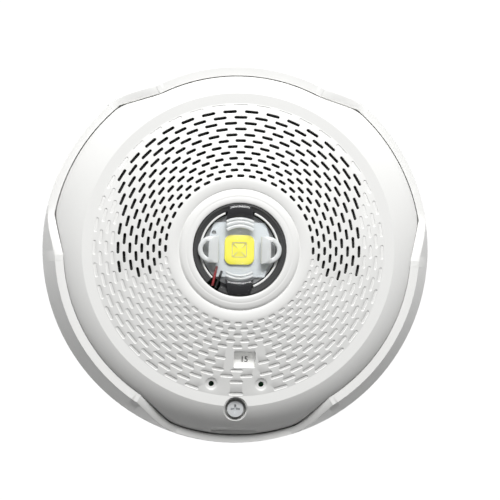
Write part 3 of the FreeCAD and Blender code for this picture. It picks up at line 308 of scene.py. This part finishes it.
def box_points(cx, cz, wide, tall, corner, grow):
    """A rectangle with round corners."""
    points = []
    for sx, sz, start in ((1, -1, -90), (1, 1, 0), (-1, 1, 90), (-1, -1, 180)):
        mx, mz = cx + sx * (wide / 2 - corner), cz + sz * (tall / 2 - corner)
        for step in range(5):
            turn = math.radians(start + 22.5 * step)
            points.append((mx + (corner + grow) * math.cos(turn), mz + (corner + grow) * math.sin(turn)))
    return points


class Hole:
    """An opening or recess: its outline at any growth, and the steps of its wall below the face."""

    def __init__(self, outline, steps, floor):
        self.outline = outline
        self.steps = steps
        self.floor = floor
        self.top = outline(EDGE_ROUND)


EDGE_ROUND = 0.12
THROUGH_STEPS = ((0.04, -0.05), (0.0, -0.18), (0.0, -2.4))
BLIND_STEPS = ((0.04, -0.05), (0.0, -0.16), (-0.02, -BLIND_DEEP + 0.08), (-0.10, -BLIND_DEEP))
WINDOW_CORNER = 0.5
WINDOW_STEPS = ((0.04, -0.05), (0.0, -0.2), (-0.25, -3.6))
DIMPLE_POINTS = 28
PIN_STEP = PIN_HOLE_R - PIN_DIMPLE_R
DIMPLE_STEPS = ((0.03, -0.03), (-0.25, -0.25), (-0.9, -0.45), (PIN_STEP + 0.1, -0.5), (PIN_STEP, -0.6),
                (PIN_STEP, -2.6))
BORE_POINTS = 48
BORE_STEP = SCREW_BORE_R - SCREW_LIP_R
SEAT_STEP = SCREW_SHANK_R - SCREW_LIP_R
BORE_STEPS = ((0.04, -0.05), (0.0, -0.2), (0.0, -0.55), (BORE_STEP + 0.1, -0.6), (BORE_STEP, -0.7),
              (BORE_STEP, -4.6), (SEAT_STEP, -4.6), (SEAT_STEP, -5.2))
NOTCH_CORNER = 0.3
NOTCH_STEPS = ((0.0, -0.12), (0.0, -0.3), (-0.1, -0.36))


def clear_of(points, middle, reach_x, reach_z):
    """Whether every point lies outside a rectangle about a middle."""
    return all(abs(x - middle[0]) > reach_x or abs(z - middle[1]) > reach_z for x, z in points)


def grille_holes():
    """Open slots round the top of each row and blind ones round the rest."""
    holes = []
    for row in range(ROWS):
        r0 = ROW_FIRST_R + row * ROW_PITCH
        limit = (ROW_SLOTS[row] - 1) * ROW_TURN / 2 + 0.01
        for number in range(40):
            angle = (number + 0.5 * (row % 2)) * ROW_TURN
            angle = (angle + math.pi) % (2 * math.pi) - math.pi
            shape = slot_points(r0, angle, EDGE_ROUND)
            if not clear_of(shape, WINDOW[:2], WINDOW[2] / 2 + 0.5, WINDOW[3] / 2 + 0.5):
                continue
            if any(not clear_of(shape, hole, PIN_DIMPLE_R + 0.4, PIN_DIMPLE_R + 0.4) for hole in PIN_HOLES):
                continue
            opened = abs(angle) <= limit
            outline = partial(slot_points, r0, angle)
            holes.append(Hole(outline, THROUGH_STEPS if opened else BLIND_STEPS, not opened))
    return holes


def front_holes():
    """Window, dimpled pin holes, screw bore and pry notch, after the grille's slots."""
    holes = grille_holes()
    x, z, wide, tall = WINDOW
    window = partial(box_points, x, z, wide, tall, WINDOW_CORNER)
    holes.append(Hole(window, WINDOW_STEPS, False))
    for cx, cz in PIN_HOLES:
        dimple = partial(ring_points, cx, cz, PIN_DIMPLE_R, DIMPLE_POINTS)
        holes.append(Hole(lambda grow, dimple=dimple: dimple(grow=grow), DIMPLE_STEPS, False))
    bore = partial(ring_points, 0.0, SCREW_Z, SCREW_LIP_R, BORE_POINTS)
    holes.append(Hole(lambda grow: bore(grow=grow), BORE_STEPS, False))
    nx, nz, nwide, ntall = NOTCH
    notch = partial(box_points, nx, nz, nwide, ntall, NOTCH_CORNER)
    holes.append(Hole(notch, NOTCH_STEPS, True))
    return holes


def lift(x, z, drop=0.0):
    """The point of the face above (x, z), in metres."""
    return Vector((x, -(face_height(x, z) + drop), z)) * MM


def triangulate(holes, rim):
    """Triangles of the face between the hub, the rim and the holes, with rings where it bends."""
    points, faces = [], []

    def add(loop):
        """Adds a loop and gives its points in counter-clockwise order."""
        start = len(points)
        points.extend(Vector(point) for point in loop)
        numbers = list(range(start, len(points)))
        return numbers if signed_area(loop) > 0 else numbers[::-1]

    faces.append(add(rim))
    hub = add(ring_points(0, 0, HUB_R + 0.4, RING_POINTS))
    faces.append(hub)
    for hole in holes:
        faces.append(add(hole.top))
    bore_reach = SCREW_LIP_R + 0.9
    rings = [DISH_R, SHOULDER_R] + [SHOULDER_R + 0.4 + 0.95 * step for step in range(14)]
    for r in rings:
        for x, z in ring_points(0, 0, r, RING_POINTS * 2):
            edge = wavy_radius(math.degrees(math.atan2(x, -z)), HEAD_LOBE_R, HEAD_RECESS_R)
            inside = math.hypot(x, z) < edge - 0.9
            notch_clear = abs(x) > NOTCH[2] / 2 + 0.5 or abs(z - NOTCH[1]) > 1.2
            if inside and notch_clear and math.hypot(x, z - SCREW_Z) > bore_reach:
                points.append(Vector((x, z)))
    made = delaunay_2d_cdt(points, [], faces, 1, 1e-5, True)
    return made, hub


def front_shell():
    """The housing's front as one mesh: face, holes, rim wall, hub and bezel."""
    holes = front_holes()
    rim = wavy_loop(0.28)
    made, hub = triangulate(holes, rim)
    flat, _, triangles, origins, _, face_origins = made
    shape = bmesh.new()
    verts = [shape.verts.new(lift(point.x, point.y)) for point in flat]
    place = {}
    for number, sources in enumerate(origins):
        for source in sources:
            place[source] = verts[number]
    for corners, sources in zip(triangles, face_origins):
        if sources == [0]:
            shape.faces.new([verts[corner] for corner in corners])
    start = len(rim)
    hub_ring = [place[number] for number in range(start, start + len(hub))]
    start += len(hub)
    for hole in holes:
        top = [place[start + number] for number in range(len(hole.top))]
        start += len(hole.top)
        sink(shape, hole, top)
    rim_ring = [place[number] for number in range(len(rim))]
    rim_wall(shape, rim_ring)
    hub_wall(shape, hub_ring)
    return shape


def strip(shape, upper, lower):
    """Quads between two loops of the same length."""
    count = len(upper)
    for number in range(count):
        following = (number + 1) % count
        shape.faces.new((upper[number], upper[following], lower[following], lower[number]))


def sink(shape, hole, top):
    """Walls of a hole from its top loop down, and its floor if it has one."""
    upper = top
    for grow, drop in hole.steps:
        lower = [shape.verts.new(lift(x, z, drop)) for x, z in hole.outline(grow)]
        strip(shape, upper, lower)
        upper = lower
    if hole.floor:
        shape.faces.new(upper)


# Inset from the joint line, and drop below the face or height over the wall.
RIM_ROUND = ((0.1, -0.08), (0.0, -0.3))
RIM_WALL = ((0.0, EDGE_FOOT + 0.15), (0.15, EDGE_FOOT), (WALL, EDGE_FOOT), (WALL, EDGE_TOP - 0.6))


def rim_wall(shape, top):
    """Rounded edge, outer wall, foot and inner wall of the rim."""
    upper = top
    for inset, drop in RIM_ROUND:
        lower = [shape.verts.new(lift(x, z, drop)) for x, z in wavy_loop(inset)]
        strip(shape, upper, lower)
        upper = lower
    for inset, height in RIM_WALL:
        lower = [shape.verts.new(Vector((x, -height, z)) * MM) for x, z in wavy_loop(inset)]
        strip(shape, upper, lower)
        upper = lower


# Radius and height over the hub's face, from its edge over the groove and bezel into the lens bore.
HUB_PROFILE = (
    (31.0, 0.0), (30.0, 0.02), (27.25, 0.03), (27.15, -0.02), (27.1, -0.2), (26.7, -0.2), (26.65, -0.02),
    (26.5, 0.05), (26.2, 0.3), (25.8, 0.5), (25.2, 0.68), (24.4, 0.86), (23.7, 0.98), (23.5, 0.94),
    (23.3, 1.0), (22.4, 1.1), (21.7, 1.12), (21.2, 1.06), (20.85, 0.9), (20.7, 0.6), (20.7, -3.5))


def hub_wall(shape, outer):
    """Hub, groove and lens bezel turned inwards from the face's inner edge."""
    upper = outer
    for r, level in HUB_PROFILE:
        loop = ring_points(0, 0, r, RING_POINTS)
        lower = [shape.verts.new(Vector((x, -(HUB_TOP + level), z)) * MM) for x, z in loop]
        strip(shape, upper, lower)
        upper = lower


def finish_mesh(shape, name, crease=35.0, sharp_radii=()):
    """Makes an object of a bmesh, smooth except at creases and round the given circles."""
    bmesh.ops.recalc_face_normals(shape, faces=shape.faces)
    for edge in shape.edges:
        edge.smooth = not edge.is_manifold or edge.calc_face_angle(0.0) < math.radians(crease)
        radii = [math.hypot(vert.co.x, vert.co.z) / MM for vert in edge.verts]
        if any(max(abs(r - sharp) for r in radii) < 0.02 for sharp in sharp_radii):
            edge.smooth = False
    for face in shape.faces:
        face.smooth = True
    mesh = bpy.data.meshes.new(name)
    shape.to_mesh(mesh)
    shape.free()
    piece = bpy.data.objects.new(name, mesh)
    bpy.context.scene.collection.objects.link(piece)
    return piece


def add_front(material):
    """The detailed front in place of the plain housing."""
    piece = finish_mesh(front_shell(), "front_shell", 28.0, (SHOULDER_R, DISH_R))
    piece.data.materials.append(material)
    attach(piece, "head")
    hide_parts("front_housing")


# --- plate ramps -------------------------------------------------------------------------------

PLATE_R = 86.5
PAD_R = 81.3
PAD_TOP = 15.3
SKIRT_FOOT = 2.5
RIM_LOBE_R = 86.1
RIM_TOP = EDGE_TOP - 0.5
JOINT_GAP = 0.45
RAMP_FIRST = 17.5
RAMP_LAST = 34.5
RAMP_STEPS = 28
PROUD = 0.04


def turned_verts(shape, profile, angle):
    """Vertices of a radius and height profile turned to an angle from the bottom."""
    across, down = math.sin(angle), math.cos(angle)
    return [shape.verts.new(Vector((r * across, -level, -r * down)) * MM) for r, level in profile]


def ramp_section(away):
    """Radius and height points round the rim where it climbs from a lobe to a pad."""
    share = (away - RAMP_FIRST) / (RAMP_LAST - RAMP_FIRST)
    climb = share * share * (3 - 2 * share)
    top = RIM_TOP + (PAD_TOP - RIM_TOP) * climb + PROUD
    inner = wavy_radius(away, HEAD_LOBE_R, HEAD_RECESS_R) + JOINT_GAP - PROUD
    outer = RIM_LOBE_R + (PAD_R - RIM_LOBE_R) * climb
    edge = PLATE_R - 0.02
    return ((inner, SKIRT_FOOT), (inner, top - 0.25), (inner + 0.25, top), (outer - 0.3, top),
            (outer + 0.05, top - 0.2), (edge, SKIRT_FOOT + PROUD), (edge, SKIRT_FOOT - 0.3))


def add_ramps(material):
    """The six ramps by which the plate's rim climbs from its lobes to its pads."""
    shape = bmesh.new()
    for middle in (0, 120, 240):
        for side in (-1, 1):
            rings = []
            for step in range(RAMP_STEPS + 1):
                away = RAMP_FIRST + (RAMP_LAST - RAMP_FIRST) * step / RAMP_STEPS
                angle = math.radians(middle + side * away)
                rings.append(turned_verts(shape, ramp_section(away), angle))
            for here, following in zip(rings, rings[1:]):
                strip(shape, here, following)
            shape.faces.new(rings[0])
            shape.faces.new(rings[-1][::-1])
    add_piece(shape, "plate_ramps", "plate", material, (), 40.0)


# --- flat pieces with openings -------------------------------------------------------------------

def signed_area(loop):
    """Area inside a loop, negative where it runs clockwise."""
    return sum(a[0] * b[1] - b[0] * a[1] for a, b in zip(loop, loop[1:] + loop[:1])) / 2


def slab(shape, outline, holes, low, high, ease=0.0):
    """A plate between two heights with openings; ease takes the upper edges off."""
    loops = [loop if signed_area(loop) > 0 else loop[::-1] for loop in [outline] + holes]
    points = [Vector(point) for loop in loops for point in loop]
    faces, start = [], 0
    for loop in loops:
        faces.append(list(range(start, start + len(loop))))
        start += len(loop)
    flat, _, triangles, origins, _, sources = delaunay_2d_cdt(points, [], faces, 1, 1e-5, True)
    inner = [offset_loop(loop, -ease if number == 0 else ease) for number, loop in enumerate(loops)]
    moved = {}
    for number, items in enumerate(origins):
        for item in items:
            moved[number] = [Vector(point) for loop in inner for point in loop][item]
    top = [shape.verts.new(Vector((moved[n].x, -high, moved[n].y)) * MM) for n in range(len(flat))]
    bottom = [shape.verts.new(Vector((point.x, -low, point.y)) * MM) for point in flat]
    middle = [shape.verts.new(Vector((point.x, -(high - ease), point.y)) * MM) for point in flat]
    for corners, source in zip(triangles, sources):
        if source == [0]:
            shape.faces.new([top[corner] for corner in corners])
            shape.faces.new([bottom[corner] for corner in reversed(corners)])
    place = {item: number for number, items in enumerate(origins) for item in items}
    for face in faces:
        ring = [place[item] for item in face]
        strip(shape, [top[n] for n in ring], [middle[n] for n in ring])
        strip(shape, [middle[n] for n in ring], [bottom[n] for n in ring])


def offset_loop(loop, by):
    """A counter-clockwise loop moved outwards by a distance."""
    if by == 0:
        return [Vector(point) for point in loop]
    moved = []
    for before, here, after in zip(loop[-1:] + loop[:-1], loop, loop[1:] + loop[:1]):
        ahead = (Vector(after) - Vector(before)).normalized()
        moved.append(Vector(here) + Vector((ahead.y, -ahead.x)) * by)
    return moved


def turn_profile(shape, profile, count=128, start=0.0, span=360.0):
    """Turns radius and height points about the device's axis; a part turn gets flat ends."""
    whole = span >= 360.0
    steps = count if whole else count + 1
    rings = []
    for step in range(steps):
        angle = math.radians(start + span * step / count)
        rings.append(turned_verts(shape, profile, angle))
    for number in range(count):
        here, following = rings[number], rings[(number + 1) % steps]
        for low in range(len(profile)):
            up = (low + 1) % len(profile)
            shape.faces.new((here[low], here[up], following[up], following[low]))
    if not whole:
        shape.faces.new(rings[0])
        shape.faces.new(rings[-1][::-1])


def add_piece(shape, name, body, material, nodes=(), crease=35.0):
    """Finishes a mesh as one piece of the device."""
    piece = finish_mesh(shape, name, crease)
    piece.data.materials.append(material)
    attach(piece, body)
    if nodes:
        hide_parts(*nodes)
    return piece


# --- lens ----------------------------------------------------------------------------------------

COLLAR_TOP = BEZEL_TOP - 0.9
HOLDER_TOP = COLLAR_TOP - 3.8
COLLAR_R = 20.4
COLLAR_BORE_R = 17.8
TRIM_BORE_R = 16.8
LAMP_TOP = HOLDER_TOP + 1.8
OPTIC_TOP = COLLAR_TOP + 10.2
OPTIC_THICK = 1.6
LOBE_HALF_WIDE = 6.3
EAR_HALF_TALL = 6.0
EAR_REACH = 18.5
LEAD_ANGLE = -35.6
LEAD_HALF = 8.4


def add_collar(material):
    """Dark collar with fine concentric steps that catch the light."""
    shape = bmesh.new()
    foot, top = HOLDER_TOP + 0.5, COLLAR_TOP
    profile = [(COLLAR_BORE_R, foot), (COLLAR_R, foot), (COLLAR_R, top - 0.05), (20.2, top), (19.75, top),
               (19.65, top - 0.12), (19.6, top - 0.30), (19.25, top - 0.34), (19.15, top - 0.42),
               (19.1, top - 0.62), (18.55, top - 0.66), (18.45, top - 0.72), (18.4, top - 0.95),
               (17.95, top - 0.98), (COLLAR_BORE_R, top - 1.08)]
    turn_profile(shape, profile, 160, LEAD_ANGLE + LEAD_HALF, 360.0 - 2 * LEAD_HALF)
    add_piece(shape, "collar_steps", "head", material, ["lens_collar"], 25.0)


def add_trim(material):
    """White ring in two arcs, with a rounded top."""
    shape = bmesh.new()
    foot, top = HOLDER_TOP + 0.1, COLLAR_TOP - 0.9
    outer = COLLAR_BORE_R - 0.1
    profile = [(TRIM_BORE_R, foot), (outer, foot), (outer, top - 0.2), (outer - 0.2, top),
               (TRIM_BORE_R + 0.2, top), (TRIM_BORE_R, top - 0.2)]
    gap = math.degrees(math.asin(LOBE_HALF_WIDE / TRIM_BORE_R))
    turn_profile(shape, profile, 80, gap, 180.0 - 2 * gap)
    turn_profile(shape, profile, 60, 180.0 + gap, 360.0 + LEAD_ANGLE - LEAD_HALF - 180.0 - gap)
    add_piece(shape, "trim_arcs", "head", material, ["trim_ring"], 50.0)


def rounded_square(side, corner, steps=8):
    """A square with round corners about the origin."""
    points = []
    for number, (sx, sz) in enumerate(((1, -1), (1, 1), (-1, 1), (-1, -1))):
        for step in range(steps + 1):
            turn = math.radians(-90 + 90 * number + 90 * step / steps)
            reach = side / 2 - corner
            points.append((sx * reach + corner * math.cos(turn), sz * reach + corner * math.sin(turn)))
    return points


def add_lamp(body_material, phosphor_material, line_material):
    """Lamp package, and its phosphor with the lens's pyramid and crossing lines over the dies."""
    package = bmesh.new()
    slab(package, rounded_square(13.4, 3.2), [], HOLDER_TOP + 1.0, LAMP_TOP, 0.25)
    add_piece(package, "lamp_package", "head", body_material, ["lamp_body"])
    glow = bmesh.new()
    low, rise = LAMP_TOP, LAMP_TOP + 0.45
    square = 3.15
    rings = [(rounded_square(13.2, 3.1), low), (rounded_square(12.9, 2.95), low + 0.28),
             (rounded_square(12.2, 2.6), rise), (rounded_square(2 * square + 0.5, 0.5), rise - 0.1),
             (rounded_square(2 * square, 0.3), rise - 0.45), (rounded_square(1.6, 0.2), rise + 0.15)]
    loops = []
    for loop, level in rings:
        loops.append([glow.verts.new(Vector((x, -level, z)) * MM) for x, z in loop])
    for lower, upper in zip(loops, loops[1:]):
        strip(glow, upper, lower)
    glow.faces.new(loops[-1])
    glow.faces.new(loops[0][::-1])
    add_piece(glow, "phosphor_dome", "head", phosphor_material, ["lamp_phosphor"], 30.0)
    lines = bmesh.new()
    for turn in (45, 135, 225, 315):
        bar(lines, turn, 0.7, 4.3, 0.22, rise - 0.32, rise + 0.12)
    for number in range(4):
        side_bar(lines, 90 * number, 3.2, 5.6, 0.28, rise - 0.35, rise + 0.03)
    add_piece(lines, "die_lines", "head", line_material)


def bar(shape, turn, start, end, wide, low, high):
    """A thin ridge along a radius."""
    out = Vector((math.cos(math.radians(turn)), math.sin(math.radians(turn))))
    side = Vector((-out.y, out.x)) * (wide / 2)
    slab(shape, [tuple(out * start - side), tuple(out * end - side), tuple(out * end + side),
                 tuple(out * start + side)], [], low, high, 0.04)


def side_bar(shape, turn, away, long, wide, low, high):
    """A thin ridge across a radius."""
    out = Vector((math.cos(math.radians(turn)), math.sin(math.radians(turn))))
    along = Vector((-out.y, out.x)) * (long / 2)
    inner, outer = out * (away - wide / 2), out * (away + wide / 2)
    slab(shape, [tuple(inner - along), tuple(outer - along), tuple(outer + along), tuple(inner + along)], [],
         low, high, 0.05)


def arc_points(r, start, end, count):
    """Points along an arc; angles in degrees from the bottom."""
    return [(r * math.sin(math.radians(start + (end - start) * n / count)),
             -r * math.cos(math.radians(start + (end - start) * n / count))) for n in range(count + 1)]


def ear_outline(side):
    """One side ear: a bar whose outer end is half round."""
    reach = EAR_REACH - EAR_HALF_TALL
    points = [(side * 9.4, -EAR_HALF_TALL * side)]
    for step in range(25):
        turn = math.radians(-90 + 180 * step / 24)
        out = reach + EAR_HALF_TALL * math.cos(turn)
        points.append((side * out, side * EAR_HALF_TALL * math.sin(turn)))
    points.append((side * 9.4, EAR_HALF_TALL * side))
    return points


def ear_hole(side):
    """The D-shaped opening of an ear, flat towards the lamp."""
    points = []
    for step in range(17):
        turn = math.radians(-62 + 124 * step / 16)
        points.append((side * (11.6 + 4.8 * math.cos(turn)), side * 4.1 * math.sin(turn)))
    return points


def add_optic(clear, painted_bright_clear, painted_dark_clear):
    """Clear dome, and the moulded ears, bands and lobes round it: ears and bands painted lighter, lobes
    painted darker, as light and shade on the clear moulding.
    """
    dome = bmesh.new()
    foot = COLLAR_TOP
    outer = [(14.2, foot), (14.15, foot + 1.2), (13.8, foot + 3.0), (12.9, foot + 5.2), (11.4, foot + 7.3),
             (9.4, foot + 9.0), (7.6, OPTIC_TOP - 0.35), (6.9, OPTIC_TOP - 0.05), (6.2, OPTIC_TOP - 0.2),
             (4.2, OPTIC_TOP - 1.2), (2.0, OPTIC_TOP - 1.75), (0.2, OPTIC_TOP - 1.9)]
    inner = [(0.2, OPTIC_TOP - 5.6), (3.0, OPTIC_TOP - 5.7), (6.2, OPTIC_TOP - 6.4), (8.8, foot + 1.8),
             (9.4, foot)]
    turn_profile(dome, outer + inner, 96)
    add_piece(dome, "optic_dome", "head", clear, ["lens_optic"], 50.0)
    frame_parts = bmesh.new()
    for side in (-1, 1):
        slab(frame_parts, ear_outline(side), [ear_hole(side)], foot, foot + OPTIC_THICK, 0.45)
    add_piece(frame_parts, "optic_ears", "head", painted_bright_clear, (), 50.0)
    bands = bmesh.new()
    for middle, levels in ((180.0, ((9.6, 11.2, 1.5), (11.35, 12.9, 1.2), (13.05, 14.3, 0.9))),
                           (0.0, ((11.0, 12.0, 1.2), (12.3, 13.4, 1.0)))):
        for near, far, tall in levels:
            span = math.degrees(math.asin(LOBE_HALF_WIDE / far)) * 0.98
            profile = [(near, foot), (far, foot), (far, foot + tall - 0.25), (far - 0.25, foot + tall),
                       (near + 0.2, foot + tall), (near, foot + tall - 0.2)]
            turn_profile(bands, profile, 20, middle - span, 2 * span)
    add_piece(bands, "optic_bands", "head", painted_bright_clear, (), 50.0)
    lobes = bmesh.new()
    for middle in (0.0, 180.0):
        wide = math.degrees(math.asin(LOBE_HALF_WIDE / 14.4))
        narrow = math.degrees(math.asin(LOBE_HALF_WIDE * 0.8 / 19.8))
        outline = arc_points(14.4, middle + wide, middle - wide, 10) + arc_points(19.7, middle - narrow,
                                                                                   middle + narrow, 10)
        slab(lobes, outline, [], foot, foot + 0.7, 0.15)
    add_piece(lobes, "optic_lobes", "head", painted_dark_clear, (), 50.0)


# --- candela scale -------------------------------------------------------------------------------

SCALE_VALUES = ("15", "30", "75", "95", "110")
SCALE_PITCH = 7.0
SCALE_TALL = 2.5
STRIP_TOP = SHOULDER_TOP - 3.1 + 0.8
LABEL_TOP = 20.2
LABEL_REACH = 5.4
LABEL_HALF_TALL = 4.6


def add_label(material):
    """Raised label bar that carries the numbers up behind the window."""
    shape = bmesh.new()
    last = WINDOW[0] + SCALE_PITCH * (len(SCALE_VALUES) - 1)
    low, high = WINDOW[1] - LABEL_HALF_TALL, WINDOW[1] + LABEL_HALF_TALL
    corners = [(WINDOW[0] - LABEL_REACH, low), (last + LABEL_REACH, low), (last + LABEL_REACH, high),
               (WINDOW[0] - LABEL_REACH, high)]
    slab(shape, corners, [], STRIP_TOP, LABEL_TOP, 0.1)
    add_piece(shape, "scale_label", "candela_slider", material)


def add_scale(material):
    """Printed numbers on the label behind the window; the lowest shows at rest."""
    for step, value in enumerate(SCALE_VALUES):
        text = bpy.data.curves.new("scale_" + value, "FONT")
        text.body = value
        text.size = SCALE_TALL * MM * 1.38
        text.align_x = "CENTER"
        text.align_y = "CENTER"
        text.extrude = 0.015 * MM
        text.offset = 0.05 * MM
        holder = bpy.data.objects.new("scale_source", text)
        mesh = bpy.data.meshes.new_from_object(holder)
        bpy.data.objects.remove(holder)
        piece = bpy.data.objects.new("scale_" + value, mesh)
        bpy.context.scene.collection.objects.link(piece)
        turn = Matrix.Rotation(math.radians(90), 4, "X")
        across = (WINDOW[0] + SCALE_PITCH * step) * MM
        mesh.transform(Matrix.Translation((across, -(LABEL_TOP + 0.02) * MM, WINDOW[1] * MM)) @ turn)
        mesh.materials.clear()
        mesh.materials.append(material)
        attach(piece, "candela_slider")


# --- inner materials -----------------------------------------------------------------------------

def clear_plastic(name, colour, alpha, roughness):
    """Clear moulding: a thin see-through film of colour with moulded waves in its gloss; a lighter film
    paints light on it and a darker film paints shade.
    """
    material = plastic(name, colour, roughness, 0.02, 0.08, 1.2)
    shader = material.node_tree.nodes["Principled BSDF"]
    shader.inputs["Alpha"].default_value = alpha
    return material


def paint_glow(material, colour, strength):
    """Painted light: a faint glow added besides a surface's colour to lift its shade, though the surface is
    no lamp.
    """
    shader = material.node_tree.nodes["Principled BSDF"]
    shader.inputs["Emission Color"].default_value = (*colour, 1)
    shader.inputs["Emission Strength"].default_value = strength


def board_green(name):
    """Solder mask over copper tracks."""
    material = plastic(name, (0.02, 0.14, 0.06), 0.3, 0.05, 0.1)
    nodes, links = material.node_tree.nodes, material.node_tree.links
    shader = nodes["Principled BSDF"]
    coordinates = nodes.new("ShaderNodeTexCoord")
    tracks = nodes.new("ShaderNodeTexBrick")
    tracks.inputs["Scale"].default_value = 160.0
    tracks.inputs["Mortar Size"].default_value = 0.06
    tracks.inputs["Color1"].default_value = (0.018, 0.12, 0.05, 1)
    tracks.inputs["Color2"].default_value = (0.03, 0.17, 0.075, 1)
    tracks.inputs["Mortar"].default_value = (0.05, 0.22, 0.09, 1)
    swap = nodes.new("ShaderNodeMapping")
    swap.inputs["Rotation"].default_value = (math.radians(90), 0, 0)
    links.new(coordinates.outputs["Object"], swap.inputs["Vector"])
    links.new(swap.outputs["Vector"], tracks.inputs["Vector"])
    links.new(tracks.outputs["Color"], shader.inputs["Base Color"])
    return material


def make_materials():
    """A finished material for each of the record's slots."""
    white = plastic("white_housing", (0.84, 0.84, 0.825), 0.45)
    black = plastic("black_plastic", (0.022, 0.022, 0.024), 0.45, 0.2)
    return {
        "plate_white": white,
        "housing_white": white,
        "cover_grey": plastic("cover_grey", (0.62, 0.62, 0.60), 0.5, 0.04, 0.4),
        "black_plastic": black,
        "brass": plastic("brass", (0.72, 0.50, 0.22), 0.28, 0.08, 0.1, 0.5, metal=1.0),
        "plated_metal": plastic("plated_metal", (0.72, 0.72, 0.70), 0.25, 0.05, 0.1, 0.6, metal=1.0),
        "zinc_steel": plastic("zinc_steel", (0.80, 0.82, 0.83), 0.35, 0.1, 0.25, 0.4, metal=0.35),
        "board_green": board_green("board_green"),
        "screen_black": plastic("screen_black", (0.012, 0.012, 0.012), 0.9, 0.3, 0.8, 0.3),
        "ceramic": plastic("ceramic", (0.80, 0.77, 0.70), 0.7, 0.03, 0.3),
        "heat_sink": plastic("heat_sink", (0.70, 0.71, 0.72), 0.35, 0.05, 0.3, 0.3, metal=1.0),
        "seal_rubber": plastic("seal_rubber", (0.015, 0.015, 0.015), 0.8, 0.2, 0.4),
        "collar_dark": plastic("collar_dark", (0.065, 0.065, 0.066), 0.3, 0.15, 0.15, 0.8),
        "lamp_board": plastic("lamp_board", (0.70, 0.745, 0.77), 0.4, 0.03, 0.1),
        "lamp_body": plastic("lamp_body", (0.78, 0.80, 0.76), 0.35, 0.04, 0.1),
        "phosphor": plastic("phosphor", (0.97, 0.89, 0.03), 0.4, 0.03, 0.2),
        "clear_optic": clear_plastic("clear_optic", (0.90, 0.93, 0.95), 0.06, 0.08),
        "lead_red": plastic("lead_red", (0.33, 0.045, 0.05), 0.45, 0.1, 0.2),
        "lead_black": plastic("lead_black", (0.02, 0.02, 0.02), 0.45, 0.2, 0.2),
        "can_metal": plastic("can_metal", (0.75, 0.75, 0.76), 0.3, 0.04, 0.15, 0.5, metal=1.0),
        "ferrite": plastic("ferrite", (0.05, 0.05, 0.052), 0.7, 0.15, 0.4),
        "copper": plastic("copper", (0.62, 0.26, 0.12), 0.35, 0.15, 0.6, 0.25, metal=1.0),
        "slider_white": plastic("slider_white", (0.80, 0.80, 0.78), 0.5, 0.03, 0.2),
        "dial_white": plastic("dial_white", (0.78, 0.78, 0.76), 0.5, 0.03, 0.2),
        "washer_black": plastic("washer_black", (0.03, 0.03, 0.03), 0.7, 0.2, 0.3),
    }


def dress_all(materials):
    """Every carried-over piece takes the material of its slot in the record."""
    for part in frame["record"]["subparts"]:
        dress(part["node"], materials[part["material_slot"]])


# --- scene ---------------------------------------------------------------------------------------

bpy.context.scene.view_settings.view_transform = "Standard"
add_camera()
add_key_light()
add_world()
add_floor()
materials = make_materials()
# Painted light: the phosphor of the unlit lamp gets a faint yellow glow.
paint_glow(materials["phosphor"], (1.0, 0.93, 0.05), 0.12)
dress_all(materials)
add_front(materials["housing_white"])
add_ramps(materials["plate_white"])
add_collar(materials["collar_dark"])
add_trim(materials["housing_white"])
add_lamp(materials["lamp_body"], materials["phosphor"], plastic("die_lines", (0.66, 0.64, 0.40), 0.4, 0.1))
# The optic's ears and bands take a painted-light copy of the clear material, and its lobes a painted-shade
# copy.
add_optic(materials["clear_optic"], clear_plastic("optic_painted_bright", (0.90, 0.92, 0.92), 0.74, 0.12),
          clear_plastic("optic_painted_dark", (0.05, 0.05, 0.053), 0.6, 0.1))
label_painted_glow_material = plastic("label_white_painted_glow", (0.84, 0.84, 0.82), 0.5)
# Painted light: the label glows faintly to lift the shade that the window's deep walls cast on it.
paint_glow(label_painted_glow_material, (0.95, 0.95, 0.93), 0.24)
add_label(label_painted_glow_material)
add_scale(plastic("scale_ink", (0.05, 0.05, 0.05), 0.6, 0.2))
